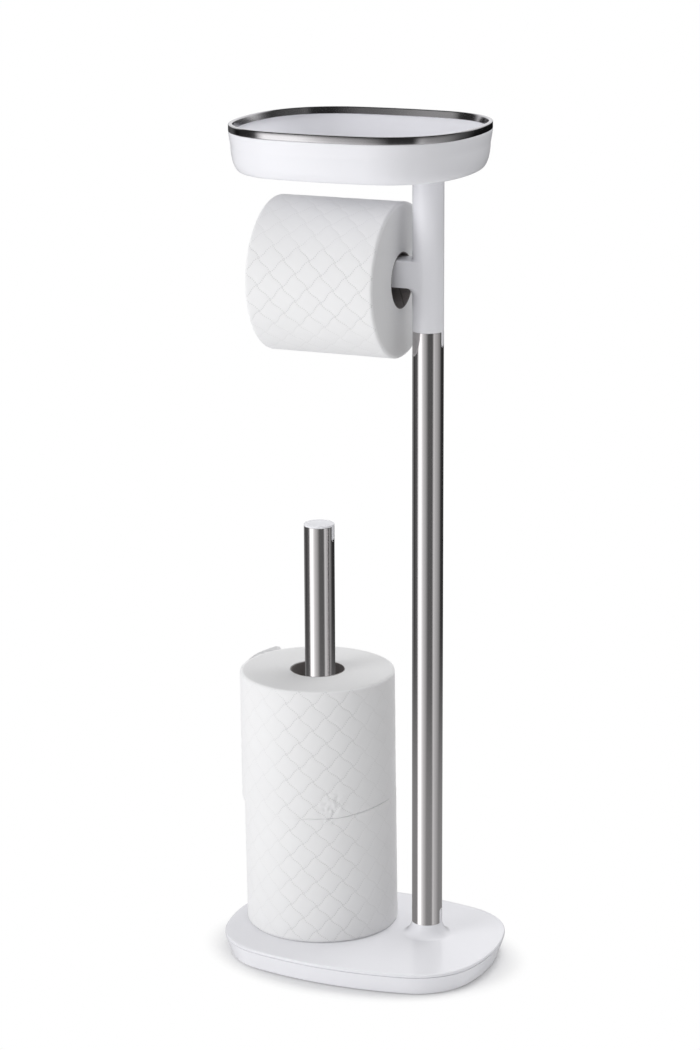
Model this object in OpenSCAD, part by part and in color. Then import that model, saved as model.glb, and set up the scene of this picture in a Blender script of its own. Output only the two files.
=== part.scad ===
// Free-standing toilet roll holder with a spare-roll spindle and a top tray.
// Origin: centre of the base's footprint on the floor. +X right, +Y back, +Z up.
// The roll arm points along -X, and all sizes are in millimetres.

/* [Base] */
// Width of the base, left to right
base_w = 234; // [195:1:281]
// Depth of the base, front to back
base_d = 174; // [145:1:209]
// Radius of the bowed front and back edges
base_side_r = 305; // [260:1:400]
// Radius of the bowed left and right ends
base_end_r = 150; // [135:1:220]
// Radius of the four corners
base_corner_r = 58; // [45:1:64]
// Height of the base's top face above the floor
base_h = 20; // [19:0.5:28]
// How far the lower moulding leans in from its top to its bottom
base_taper = 5.5; // [2:0.5:8]
// Thickness of the cover's top plate, seen as its edge
cover_t = 2.6; // [2:0.1:3.2]
// Groove that shows between the cover and the lower moulding
parting_gap = 0.4; // [0.2:0.1:0.8]
// Wall of the lower moulding
pan_wall = 2.2; // [1.6:0.1:3]
// Floor of the lower moulding
pan_floor = 2.5; // [2.2:0.1:3.5]
// Gap between the lower moulding and the floor of the room
ground_gap = 1; // [0.5:0.1:2]
// Thickness of the steel weight inside the base
ballast_t = 6; // [3:0.5:6]
// Distance of the steel weight's edge from the base's edge
ballast_inset = 9; // [8.5:0.5:20]
// Diameter of each foot pad
foot_d = 18; // [12:1:22]
// Depth of the foot pads' recesses
foot_recess = 1.4; // [0.8:0.1:1.8]

/* [Post] */
// Outer diameter of the steel tubes, the column and the spindle
tube_od = 25.4; // [21:0.1:30.5]
// Wall of the steel tubes
tube_wall = 1; // [0.8:0.1:1.5]
// Length of the main tube
post_len = 506.5; // [422:0.5:608]
// Place of the main tube to the right of the base's centre
post_x = 51.6; // [46:0.1:58]
// Place of the main tube behind the base's centre
post_y = 12.7; // [0:0.1:24]
// Height of the flared collar under each tube
collar_h = 10.5; // [6:0.5:14]
// How far the collar's foot spreads past the tube
collar_flare = 4.4; // [2:0.1:5]

/* [Spindle] */
// Place of the spindle to the left of the base's centre
spindle_x = -45.7; // [-58:0.1:-42]
// Place of the spindle behind the base's centre
spindle_y = 13.4; // [0:0.1:24]
// Length of the spindle's tube
spindle_len = 335.4; // [280:0.1:402]
// Height of the cap's edge above the tube
cap_edge = 1.6; // [1:0.1:4]

/* [Keyed joints] */
// Width of the key tabs that show in the tubes' slots
key_w = 5; // [3:0.1:7]
// Length of the key tabs
key_l = 12; // [8:0.5:20]
// Length of the spigots inside the tubes
spigot_l = 25; // [20:1:40]
// Running gap round spigots, keys and locating rims
fit_gap = 0.1; // [0.05:0.01:0.2]
// Open end of a slot past its key
slot_gap = 1; // [0.4:0.1:2]

/* [Head and arm] */
// Height of the arm's middle above the main tube's end
arm_rise = 46.4; // [37:0.1:60]
// Height of the arm's section
arm_h = 22.4; // [16:0.1:27]
// Radius of the arm's long edges
arm_corner = 1.2; // [1:0.1:5]
// Length of the arm from the post's axis to its tip
arm_len = 144; // [136:1:170]
// Wall of the hollow arm and column
arm_wall = 2.4; // [1.8:0.1:3.5]
// Rise of the end cap's lip above the arm
lip_rise = 2.5; // [1:0.5:4]
// Thickness of the end cap
end_cap_t = 4; // [3:0.5:8]
// Length of the end cap's plug inside the arm
plug_l = 8; // [4:0.5:12]
// Fillet above the arm where it meets the column
web_r_top = 6.5; // [3:0.5:10]
// Fillet below the arm where it meets the column
web_r_low = 7.5; // [3:0.5:14]
// Length of the column from the tube to the tray
column_len = 129; // [115:0.5:150]
// Diameter of the bore that lightens the column
column_bore = 10; // [6:0.5:11]

/* [Tray] */
// Width of the tray
tray_w = 202.4; // [169:0.1:243]
// Depth of the tray
tray_d = 179; // [150:1:215]
// Radius of the bowed front and back of the tray
tray_side_r = 350; // [300:1:450]
// Radius of the bowed ends of the tray
tray_end_r = 170; // [140:1:240]
// Radius of the tray's corners
tray_corner_r = 66; // [50:1:70]
// Place of the tray's centre beside the base's centre
tray_x = -1; // [-8:0.5:8]
// Height of the tray from its underside to its rim
tray_h = 38; // [32:0.5:46]
// Wall of the tray
tray_wall = 2.4; // [1.8:0.1:3]
// Floor of the tray
tray_floor = 3; // [2.4:0.1:4]
// Width of the tray's rounded lower edge
tray_edge_w = 8; // [6:0.5:14]
// Height of the tray's rounded lower edge
tray_edge_h = 20.5; // [10:0.5:25]
// How far the tray's wall leans in above its rounded edge
tray_taper = 1.7; // [0.5:0.1:4]
// Height of the steel band on the tray's rim
band_h = 6; // [4:0.5:9]
// Thickness of the steel band
band_t = 0.8; // [0.5:0.1:1]

/* [Rolls] */
// Width of a toilet roll
roll_w = 110; // [92:1:112]
// Inner radius of a roll's card core
core_r = 22; // [18.8:0.1:26.4]
// Wall of the card core
core_wall = 0.9; // [0.6:0.1:1.5]
// Radius of the roll on the arm
arm_roll_r = 63; // [52:0.1:74]
// Radius of the upper spare roll
upper_roll_r = 65.2; // [53:0.1:76]
// Radius of the lower spare roll
lower_roll_r = 64.2; // [53:0.1:76]
// Rounding of a roll's outer edges
roll_edge_r = 2.5; // [1:0.5:5]
// Gap between the arm's roll and the column
arm_roll_gap = 9.9; // [8:0.1:20]
// Gap left between a roll and what it rests on
seat_gap = 0.3; // [0.2:0.1:0.5]

/* [Hidden] */
$fn = 96;
little = 0.01;

// Outlines: width, depth, side radius, end radius and corner radius
base_o = [base_w, base_d, base_side_r, base_end_r, base_corner_r];
tray_o = [tray_w, tray_d, tray_side_r, tray_end_r, tray_corner_r];
// The arm's section, with sides that bow only a little
section_bow_r = 400;
arm_o = [arm_h, tube_od, section_bow_r, section_bow_r, arm_corner];
cap_o = [arm_h + lip_rise, tube_od, section_bow_r, section_bow_r, arm_corner + 2];

// Heights in the base
pan_low = ground_gap;
floor_z = pan_low + pan_floor;
pan_top = base_h - cover_t - parting_gap;
pan_lean = base_taper / (pan_top - pan_low);
cover_low = base_h - cover_t;
ballast_top = cover_low - 3.4;
ballast_low = ballast_top - ballast_t;
collar_z = base_h + collar_h;
// The cover's skirt drops inside the lower moulding and clears its leaning wall
skirt_depth = 3.5;
skirt_t = 1.8;
skirt_in = pan_wall + pan_lean * skirt_depth + fit_gap + 0.2;
rib_t = 1.6;

// Steel tubes, spigots and tie rods
tube_r = tube_od / 2;
tube_ir = tube_r - tube_wall;
spigot_r = tube_ir - fit_gap;
collar_foot_r = tube_r + collar_flare;
rod_r = 3;
rod_hole_r = rod_r + 0.3;
insert_r = 4.8;
insert_l = 14;
nut_af = 10;
nut_h = 5;
washer_r = 9;
washer_t = 1.4;
well_r = 13;
well_wall = 2;
rod_low = ballast_low - washer_t - nut_h;
tubes_xy = [[post_x, post_y], [spindle_x, spindle_y]];

// Heights of the post, the arm, the tray and the spindle
post_top = collar_z + post_len;
arm_z = post_top + arm_rise;
arm_top = arm_z + arm_h / 2;
arm_low = arm_z - arm_h / 2;
arm_tip = post_x - arm_len;
tray_z = post_top + column_len;
tray_top = tray_z + tray_h;
spindle_top = collar_z + spindle_len;

// Screws: shank and head, with the holes that they fit
base_screw_r = 1.75;
base_head_r = 3.5;
base_head_h = 2;
base_boss_r = 4.5;
base_pad_r = 6;
base_pad_top = floor_z + 2.5;
base_sink_top = floor_z - 0.3;
base_screw_l = 12;
base_screws_xy = [[base_w / 2 - 19, 0], [19 - base_w / 2, 0],
    for (i = [-1, 1], j = [-1, 1]) [i * (base_w / 2 - 61), j * (base_d / 2 - 25)]];
foot_xy = [[0, 0], for (i = [-1, 1], j = [-1, 1]) [i * (base_w / 2 - 41), j * (base_d / 2 - 35)]];
tray_screw_r = 1.6;
tray_head_r = 3;
tray_head_h = 1.5;
tray_screw_l = 14;
tray_screw_ring = (column_bore / 2 + tube_r) / 2;
tray_seat_z = tray_z + tray_floor - tray_head_h - 0.1;

// Places of the rolls: the core of the arm's roll hangs on the arm's upper edges
arm_roll_x1 = post_x - tube_r - arm_roll_gap;
hang_dx = tube_od / 2 - arm_corner;
hang_r = core_r - seat_gap - arm_corner;
arm_roll_z = arm_top - arm_corner - sqrt(hang_r * hang_r - hang_dx * hang_dx);
lower_roll_xy = [spindle_x + 0.1, spindle_y];
upper_roll_xy = [spindle_x - 2.3, spindle_y + 0.4];
lower_roll_z = base_h + seat_gap;
upper_roll_z = lower_roll_z + roll_w + seat_gap;

// Points on each quarter of an outline: end, corner and side
quarter_steps = [3, 9, 6];
section_steps = [1, 5, 1];

function dir(a) = [cos(a), sin(a)];
function side_centre(o) = [0, o[1] / 2 - o[2]];
function end_centre(o) = [o[0] / 2 - o[3], 0];
// Centre of the corner arc that is tangent to the side and end arcs
function corner_centre(o) =
    let (a = side_centre(o), ab = end_centre(o) - a, l = norm(ab), e = ab / l,
        ra = o[2] - o[4], rb = o[3] - o[4],
        k = (ra * ra - rb * rb + l * l) / (2 * l), h = sqrt(ra * ra - k * k))
    a + e * k + [e[1], -e[0]] * h;
function angle_from(c, p) = atan2(p[1] - c[1], p[0] - c[0]);
function arc(c, r, a0, a1, n) = [for (i = [0:n - 1]) c + r * dir(a0 + (a1 - a0) * i / n)];
// One quarter of an outline, moved in by t, from the +X end to the +Y side
function quarter(o, t, s) =
    let (a = side_centre(o), b = end_centre(o), p = corner_centre(o),
        te = angle_from(b, p), ts = angle_from(a, p))
    concat(arc(b, o[3] - t, 0, te, s[0]), arc(p, o[4] - t, te, ts, s[1]),
        arc(a, o[2] - t, ts, 90, s[2]), [[0, o[1] / 2 - t]]);
// A whole outline, anticlockwise
function ring(o, t = 0, s = quarter_steps) =
    let (q = quarter(o, t, s), m = len(q) - 1)
    concat([for (i = [0:m - 1]) q[i]],
        [for (i = [m:-1:1]) [-q[i][0], q[i][1]]],
        [for (i = [0:m - 1]) [-q[i][0], -q[i][1]]],
        [for (i = [m:-1:1]) [q[i][0], -q[i][1]]]);
function at_z(points, z) = [for (p = points) [p[0], p[1], z]];

// Solid skinned over rings of equal count, from the lowest outer ring to the last one.
// A loop joins its last ring to the first instead of closing both with a face.
module skin(rings, loop = false) {
    n = len(rings[0]);
    k = len(rings);
    last = loop ? k - 1 : k - 2;
    sides = [for (j = [0:last], i = [0:n - 1])
        let (a = j * n + i, b = j * n + (i + 1) % n, c = (j + 1) % k * n + (i + 1) % n,
            d = (j + 1) % k * n + i)
        each [[a, d, c], [a, c, b]]];
    ends = loop ? [] : [[for (i = [0:n - 1]) i], [for (i = [n - 1:-1:0]) (k - 1) * n + i]];
    polyhedron(points = [for (r = rings) each r], faces = concat(sides, ends));
}

// Outline moved in by t, with corners of radius r
function inside_o(o, t, r) = [o[0] - 2 * t, o[1] - 2 * t, o[2] - t, o[3] - t, r];
arm_hollow_o = inside_o(arm_o, arm_wall, 1.2);
plug_o = inside_o(arm_o, arm_wall + fit_gap, 1.1);
plug_hollow_o = inside_o(arm_o, arm_wall + fit_gap + 1.6, 0.8);

// Rings of an outline from a list of [inset, height]
function rings_of(o, profile, s = quarter_steps) = [for (p = profile) at_z(ring(o, p[0], s), p[1])];

module plate(o, inset, z0, z1) {
    translate([0, 0, z0]) linear_extrude(z1 - z0) polygon(ring(o, inset));
}

module at_each(places) {
    for (p = places) translate([p[0], p[1], 0]) children();
}

module drum(r, z0, z1) {
    translate([0, 0, z0]) cylinder(r = r, h = z1 - z0);
}

// Round-ended bar along +X that makes a key, or the slot for it: it starts at z and
// runs up or down by l
module key_bar(w, l, z, up, reach) {
    flip = up ? 1 : -1;
    translate([0, -w / 2, up ? z - little : z - l + w / 2])
        cube([reach, w, l - w / 2 + little]);
    translate([0, 0, z + flip * (l - w / 2)]) rotate([0, 90, 0]) cylinder(r = w / 2, h = reach);
}

// Key tab, flush with the outside of the tube
module key(z, up) {
    intersection() {
        drum(tube_r, z - 2 * key_l, z + 2 * key_l);
        translate([spigot_r - 1, 0, 0]) key_bar(key_w, key_l, z, up, 4);
    }
}

module steel_tube(length) {
    difference() {
        cylinder(r = tube_r, h = length);
        drum(tube_ir, -1, length + 1);
        translate([spigot_r - 2, 0, 0]) {
            key_bar(key_w + 2 * fit_gap, key_l + slot_gap, 0, true, 6);
            key_bar(key_w + 2 * fit_gap, key_l + slot_gap, length, false, 6);
        }
    }
}

// Concave collar that carries a tube, its spigot and its key
module socket() {
    flare_r = collar_h - 1;
    steps = 8;
    rotate_extrude() polygon(concat([[0, cover_low - little], [collar_foot_r, cover_low - little],
        [collar_foot_r, base_h]],
        [for (i = [1:steps - 1]) let (a = 90 * i / steps)
            [tube_r + (collar_flare - 0.2) * (1 - sin(a)), base_h + flare_r * (1 - cos(a))]],
        [[tube_r, collar_z - 1], [tube_r, collar_z], [0, collar_z]]));
    drum(spigot_r - 0.6, collar_z - 1, collar_z + spigot_l);
    drum(spigot_r, collar_z - 1, collar_z + spigot_l - 1);
    key(collar_z, true);
    drum(collar_foot_r, ballast_top, cover_low + little);
}

// Ribs along X and Y between two heights: the lists hold their places
module ribs(along_x, along_y, z0, z1) {
    for (y = along_x)
        translate([-base_w / 2, y - rib_t / 2, z0]) cube([base_w, rib_t, z1 - z0]);
    for (x = along_y)
        translate([x - rib_t / 2, -base_d / 2, z0]) cube([rib_t, base_d, z1 - z0]);
}

module cover_ribs() intersection() {
    plate(base_o, ballast_inset, ballast_top, cover_low + little);
    ribs([for (i = [-1, 1]) i * base_d / 5.4], [for (i = [-2:2]) i * base_w / 6],
        ballast_top, cover_low + 1);
}

module base_cover() color([0.93, 0.93, 0.95]) {
    difference() {
        union() {
            skin(rings_of(base_o, [[0.3, cover_low], [0, cover_low + 0.3], [0, base_h - 0.8],
                [0.25, base_h - 0.25], [0.8, base_h]]));
            difference() {
                plate(base_o, skirt_in, cover_low - skirt_depth, cover_low + little);
                plate(base_o, skirt_in + skirt_t, cover_low - skirt_depth - 1, cover_low);
            }
            cover_ribs();
            at_each(tubes_xy) socket();
            at_each(base_screws_xy) drum(base_boss_r, base_pad_top, cover_low + little);
        }
        at_each(tubes_xy) drum(rod_hole_r, 0, collar_z + spigot_l + 1);
        at_each(base_screws_xy) drum(base_screw_r, 0, base_sink_top + base_screw_l + 1);
    }
}

module pan_ribs() intersection() {
    plate(base_o, base_taper + pan_wall - 1, floor_z - little, ballast_low);
    ribs([for (i = [-1, 1]) i * base_d / 4.6], [for (i = [-1:1]) i * base_w / 2.9], 0, base_h);
}

module base_pan() color([0.9, 0.9, 0.92]) {
    difference() {
        union() {
            skin(rings_of(base_o, [[base_taper + 1.3, pan_low], [base_taper + 0.4, pan_low + 0.5],
                [base_taper - pan_lean * 1.6, pan_low + 1.6], [pan_lean * 0.4, pan_top - 0.4],
                [0.4, pan_top], [pan_wall, pan_top],
                [pan_wall + pan_lean * (pan_top - floor_z), floor_z]]));
            pan_ribs();
            at_each(tubes_xy) drum(well_r + well_wall, pan_low + 0.5, ballast_low);
            at_each(base_screws_xy) drum(base_pad_r, pan_low + 0.5, base_pad_top);
        }
        at_each(tubes_xy) drum(well_r, 0, base_h);
        at_each(base_screws_xy) {
            drum(base_screw_r + 0.25, 0, base_h);
            drum(base_head_r + 0.3, 0, base_sink_top);
        }
        at_each(foot_xy) drum(foot_d / 2 + 0.2, 0, pan_low + foot_recess);
    }
}

module ballast_plate() color([0.45, 0.46, 0.48]) difference() {
    plate(base_o, ballast_inset, ballast_low, ballast_top);
    at_each(tubes_xy) drum(rod_hole_r, 0, base_h);
    at_each(base_screws_xy) drum(base_boss_r + 0.7, 0, base_h);
}

module base_feet() color([0.25, 0.25, 0.26]) at_each(foot_xy) {
    drum(foot_d / 2 - 0.6, 0, 0.6);
    drum(foot_d / 2, 0.4, pan_low + foot_recess);
}

module base_screws() color([0.6, 0.6, 0.62]) at_each(base_screws_xy) difference() {
    union() {
        drum(base_head_r, base_sink_top - base_head_h, base_sink_top);
        drum(base_screw_r, base_sink_top - little, base_sink_top + base_screw_l);
    }
    cross_recess(base_sink_top - base_head_h);
}

// Cross slot that a screwdriver turns, cut from below
module cross_recess(z) {
    for (a = [0, 90]) rotate(a) translate([-1.8, -0.4, z - 1]) cube([3.6, 0.8, 2.2]);
}

module post_tube() color([0.72, 0.71, 0.72])
    translate([post_x, post_y, collar_z]) steel_tube(post_len);

module spindle_tube() color([0.72, 0.71, 0.72])
    translate([spindle_x, spindle_y, collar_z]) steel_tube(spindle_len);

module tie_rod(z1) {
    drum(rod_r - 0.5, rod_low, rod_low + 0.5);
    drum(rod_r, rod_low + 0.5, z1);
}

module post_rod() color([0.55, 0.56, 0.58]) translate([post_x, post_y, 0])
    tie_rod(post_top - spigot_l + insert_l + 2);

module spindle_rod() color([0.55, 0.56, 0.58]) translate([spindle_x, spindle_y, 0])
    tie_rod(spindle_top - spigot_l + insert_l + 2);

module rod_washers() color([0.6, 0.6, 0.62]) at_each(tubes_xy) difference() {
    drum(washer_r, ballast_low - washer_t, ballast_low);
    drum(rod_hole_r, 0, ballast_low + 1);
}

module rod_nuts() color([0.58, 0.58, 0.6]) at_each(tubes_xy) difference() {
    translate([0, 0, rod_low]) cylinder(r = nut_af / sqrt(3), h = nut_h, $fn = 6);
    drum(rod_r + 0.02, 0, base_h);
}

// Brass inserts that take the upper ends of the tie rods
module rod_inserts() color([0.75, 0.6, 0.3]) {
    for (place = [[post_x, post_y, post_top], [spindle_x, spindle_y, spindle_top]])
        translate([place[0], place[1], place[2] - spigot_l]) difference() {
            union() {
                drum(insert_r, 0, insert_l);
                drum(insert_r + 0.6, insert_l * 0.2, insert_l * 0.4);
                drum(insert_r + 0.6, insert_l * 0.6, insert_l * 0.8);
            }
            drum(rod_r + 0.02, -1, insert_l + 1);
        }
}

// Hollow for an insert and the rod's end, from a spigot's lower end
module insert_pocket() {
    drum(insert_r, -1, insert_l);
    drum(insert_r + 0.6, insert_l * 0.2, insert_l * 0.4);
    drum(insert_r + 0.6, insert_l * 0.6, insert_l * 0.8);
    drum(rod_hole_r, 0, insert_l + 4);
}

module spindle_cap() color([0.93, 0.93, 0.95]) translate([spindle_x, spindle_y, spindle_top])
    difference() {
        union() {
            round = min(0.8, cap_edge / 2);
            rotate_extrude() polygon(concat([[0, 0], [tube_r, 0]],
                [for (a = [0:15:90])
                    [tube_r - round + round * cos(a), cap_edge - round + round * sin(a)]],
                [[0, cap_edge]]));
            drum(spigot_r, 1 - spigot_l, little);
            drum(spigot_r - 0.6, -spigot_l, 2 - spigot_l);
            key(0, false);
        }
        translate([0, 0, -spigot_l]) insert_pocket();
    }

// Upright stadium section: the left end moves out by s from the column's axis
function web_ring(s, z, r) = concat(
    [for (i = [0:12]) [r * cos(15 * i - 90), r * sin(15 * i - 90), z]],
    [for (i = [0:12]) [r * cos(15 * i + 90) - s, r * sin(15 * i + 90), z]]);

// Fillet of radius r between the column and the top of the arm, rising from z = 0
module web(r) {
    steps = 6;
    inside = tube_r - 0.05;
    start = 0.6;
    skin(concat([web_ring(r, -1, inside)],
        [for (i = [0:steps]) let (a = 90 * i / steps)
            web_ring(start * (steps - i) / steps + (r - start) * (1 - sin(a)),
                r * (1 - cos(a)), inside)]));
}

module head_arm() color([0.92, 0.92, 0.95]) translate([post_x, post_y, 0]) difference() {
    union() {
        drum(tube_r, post_top, tray_z);
        drum(spigot_r, post_top - spigot_l + 1, post_top + little);
        drum(spigot_r - 0.6, post_top - spigot_l, post_top);
        key(post_top, false);
        translate([0, 0, arm_z]) rotate([0, -90, 0])
            linear_extrude(arm_len - end_cap_t) polygon(ring(arm_o, 0, section_steps));
        translate([0, 0, arm_top]) web(web_r_top);
        translate([0, 0, arm_low]) mirror([0, 0, 1]) web(web_r_low);
    }
    translate([0, 0, post_top - spigot_l]) insert_pocket();
    drum(column_bore / 2, arm_top + arm_wall, tray_z + 1);
    translate([-tube_r, 0, arm_z]) rotate([0, -90, 0])
        linear_extrude(arm_len) polygon(ring(arm_hollow_o, 0, section_steps));
    tray_screw_places() drum(tray_screw_r, tray_seat_z - tray_screw_l - 1, tray_z + 1);
}

module arm_end_cap() color([0.92, 0.92, 0.95]) translate([arm_tip, post_y, arm_z]) {
    rotate([0, 90, 0]) translate([-lip_rise / 2, 0, 0]) skin(rings_of(cap_o, [[2.2, 0], [1, 0.35],
        [0.3, 1], [0, 2], [0, end_cap_t]], section_steps));
    translate([end_cap_t - little, 0, 0]) rotate([0, 90, 0]) linear_extrude(plug_l) difference() {
        polygon(ring(plug_o, 0, section_steps));
        polygon(ring(plug_hollow_o, 0, section_steps));
    }
}

// Places of the three screws that hold the tray down on the column
module tray_screw_places() {
    for (a = [90:120:330]) rotate(a) translate([tray_screw_ring, 0, 0]) children();
}

module tray_screws() color([0.6, 0.6, 0.62]) translate([post_x, post_y, 0])
    tray_screw_places() difference() {
        union() {
            drum(tray_head_r, tray_seat_z, tray_seat_z + tray_head_h);
            drum(tray_screw_r, tray_seat_z - tray_screw_l, tray_seat_z + little);
        }
        translate([0, 0, tray_seat_z + tray_head_h]) mirror([0, 0, 1]) cross_recess(0);
    }

// Profile of the tray's rounded lower edge, a quarter ellipse moved in by t
function tray_edge(t, n) =
    [for (i = [0:n]) let (a = 90 * i / n)
        [tray_taper + t + (tray_edge_w - t) * (1 - sin(a)),
         tray_z + tray_edge_h - (tray_edge_h - t) * cos(a)]];

module tray_shell() color([0.93, 0.93, 0.96]) difference() {
    translate([tray_x, 0, 0]) skin(rings_of(tray_o, concat(
        tray_edge(0, 9),
        [[tray_taper / 4, tray_top - band_h - 3], [band_t / 2, tray_top - band_h - 0.2],
         [band_t + 0.1, tray_top - band_h], [band_t + 0.1, tray_top - band_t - 0.1],
         [tray_wall, tray_top - band_t - 0.1], [tray_wall, tray_top - band_h]],
        [for (i = [9:-1:0]) tray_edge(tray_floor, 9)[i]])));
    translate([post_x, post_y, 0]) tray_screw_places() {
        drum(tray_screw_r + 0.2, tray_z - 1, tray_z + tray_floor + 1);
        drum(tray_head_r + 0.2, tray_seat_z, tray_z + tray_floor + 1);
    }
}

// Folded steel band over the rim: outer skin, rolled top and inner skin
module tray_rim() color([0.7, 0.7, 0.71]) {
    low = tray_top - band_h;
    wide = tray_wall + band_t + 0.1;
    round = band_t;
    translate([tray_x, 0, 0]) skin(rings_of(tray_o, concat([[0, low], [0, tray_top - round]],
        [for (a = [30, 60, 90]) [round - round * cos(a), tray_top - round + round * sin(a)]],
        [for (a = [90, 60, 30]) [wide - round + round * cos(a), tray_top - round + round * sin(a)]],
        [[wide, tray_top - round], [wide, low + 0.4], [wide - band_t, low + 0.4],
         [wide - band_t, tray_top - band_t], [band_t, tray_top - band_t], [band_t, low]])),
        loop = true);
}

// Card tube and wound paper of one roll, standing on z = 0
module roll_core() {
    difference() {
        cylinder(r = core_r + core_wall, h = roll_w);
        drum(core_r, -1, roll_w + 1);
    }
}

module roll_paper(r) {
    e = roll_edge_r;
    bore = core_r + core_wall;
    rotate_extrude() polygon(concat([[bore, 0.6], [bore + 0.6, 0]],
        [for (a = [-90:18:0]) [r - e + e * cos(a), e + e * sin(a)]],
        [for (a = [0:18:90]) [r - e + e * cos(a), roll_w - e + e * sin(a)]],
        [[bore + 0.6, roll_w], [bore, roll_w - 0.6]]));
}

module on_arm() {
    translate([arm_roll_x1 - roll_w, post_y, arm_roll_z]) rotate([0, 90, 0]) children();
}

module on_spindle(xy, z) {
    translate([xy[0], xy[1], z]) children();
}

module arm_roll_core() color([0.62, 0.6, 0.58]) on_arm() roll_core();
module arm_roll_paper() color([0.95, 0.95, 0.96]) on_arm() roll_paper(arm_roll_r);
module lower_roll_core() color([0.62, 0.6, 0.58]) on_spindle(lower_roll_xy, lower_roll_z) roll_core();
module lower_roll_paper() color([0.95, 0.95, 0.96])
    on_spindle(lower_roll_xy, lower_roll_z) roll_paper(lower_roll_r);
module upper_roll_core() color([0.62, 0.6, 0.58]) on_spindle(upper_roll_xy, upper_roll_z) roll_core();
module upper_roll_paper() color([0.95, 0.95, 0.96])
    on_spindle(upper_roll_xy, upper_roll_z) roll_paper(upper_roll_r);

base_cover();
base_pan();
ballast_plate();
base_feet();
base_screws();
post_tube();
spindle_tube();
post_rod();
spindle_rod();
rod_washers();
rod_nuts();
rod_inserts();
spindle_cap();
head_arm();
arm_end_cap();
tray_shell();
tray_rim();
tray_screws();
arm_roll_core();
arm_roll_paper();
lower_roll_core();
lower_roll_paper();
upper_roll_core();
upper_roll_paper();
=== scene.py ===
"""Looks of a free-standing toilet roll holder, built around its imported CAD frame.

Every mesh is in metres in the frame's own axes: +Z up the post, +Y to the back, the arm along -X.
"""

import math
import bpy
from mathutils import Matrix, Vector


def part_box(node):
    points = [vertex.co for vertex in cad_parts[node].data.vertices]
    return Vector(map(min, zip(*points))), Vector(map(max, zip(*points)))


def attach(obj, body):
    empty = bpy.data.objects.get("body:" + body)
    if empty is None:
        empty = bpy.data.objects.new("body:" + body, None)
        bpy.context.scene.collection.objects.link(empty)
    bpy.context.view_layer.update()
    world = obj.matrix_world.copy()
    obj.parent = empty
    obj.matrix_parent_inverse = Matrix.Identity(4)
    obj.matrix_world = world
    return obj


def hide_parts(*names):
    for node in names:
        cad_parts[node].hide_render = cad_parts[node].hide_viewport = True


bl_info = {
    "name": "Toilet Roll Holder",
    "version": (1, 0, 0),
    "blender": (4, 5, 0),
    "location": "3D Viewport > Sidebar > Roll Holder",
    "description": "Builds the surfaces of a roll holder with a spare-roll spindle and a tray",
    "category": "Add Mesh",
}

from functools import partialmethod

import bmesh
import bpy
from bpy.props import FloatProperty, FloatVectorProperty, IntProperty, PointerProperty
from mathutils import Euler, Matrix, Quaternion, Vector

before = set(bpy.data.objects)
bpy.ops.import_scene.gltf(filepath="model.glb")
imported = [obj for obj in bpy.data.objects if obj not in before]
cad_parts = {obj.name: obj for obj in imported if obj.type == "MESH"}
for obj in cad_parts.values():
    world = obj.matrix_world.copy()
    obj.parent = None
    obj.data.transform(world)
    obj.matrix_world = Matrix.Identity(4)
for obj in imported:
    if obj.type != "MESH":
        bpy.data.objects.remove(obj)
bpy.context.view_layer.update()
MM = 0.001

# Sizes that several pieces share
BASE_SCREW_R, BASE_SHANK_R = 3.5 * MM, 1.75 * MM
TRAY_SCREW_R, TRAY_SHANK_R = 3 * MM, 1.6 * MM
FOOT_R = 9 * MM
ROLL_SEGMENTS = 504
CELLS_ALONG = 5

# Places that come from the frame
POST_LOW, POST_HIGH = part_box("post_tube")
SPINDLE_LOW, SPINDLE_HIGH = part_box("spindle_tube")
COVER_LOW, COVER_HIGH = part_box("base_cover")
PAN_LOW, PAN_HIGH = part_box("base_pan")
TRAY_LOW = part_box("tray_shell")[0]
RIM_LOW, RIM_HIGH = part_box("tray_rim")
HEAD_LOW, HEAD_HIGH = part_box("head_arm")
END_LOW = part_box("arm_end_cap")[0]
SCREW_LOW, SCREW_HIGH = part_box("tray_screws")
TUBE_R = (POST_HIGH.x - POST_LOW.x) / 2
POST_AXIS = (POST_LOW + POST_HIGH) / 2
SPINDLE_AXIS = (SPINDLE_LOW + SPINDLE_HIGH) / 2
TRAY_AXIS = (RIM_LOW + RIM_HIGH) / 2
BASE_SIZE = COVER_HIGH - COVER_LOW


def metres(name, about, value, low=0.0, high=1.0):
    """A length property, given in metres."""
    return FloatProperty(name=name, description=about, default=value, min=low, max=high,
                         unit="LENGTH", precision=5)


def number(name, about, value, low=0.0, high=10.0):
    """A property without a unit."""
    return FloatProperty(name=name, description=about, default=value, min=low, max=high)


def angle(name, about, degrees):
    """An angle property, given in degrees and stored in radians."""
    return FloatProperty(name=name, description=about, default=math.radians(degrees),
                         unit="ROTATION")


def colour(name, about, value):
    """A colour property."""
    return FloatVectorProperty(name=name, description=about, default=value, subtype="COLOR",
                               min=0.0, max=1.0)


class HOLDER_base_sizes(bpy.types.PropertyGroup):
    side_radius: metres("Side radius", "Radius of the bowed front and back edges", 0.305)
    end_radius: metres("End radius", "Radius of the bowed left and right ends", 0.150)
    corner_radius: metres("Corner radius", "Radius of the four corners", 0.058)
    collar_height: metres("Collar height", "Height of the flared collars under the tubes", 0.0105)
    collar_spread: metres("Collar spread", "How far a collar's foot spreads past its tube", 0.0085)
    cover_edge: metres("Cover edge", "Height of the cover's edge above the parting line", 0.0026)
    edge_round: metres("Edge round", "Rounding of the cover's top edge", 0.0009)
    lean: metres("Lean", "How far the lower moulding leans in from top to bottom", 0.0055)
    pan_wall: metres("Pan wall", "Wall of the lower moulding", 0.0022)


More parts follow.
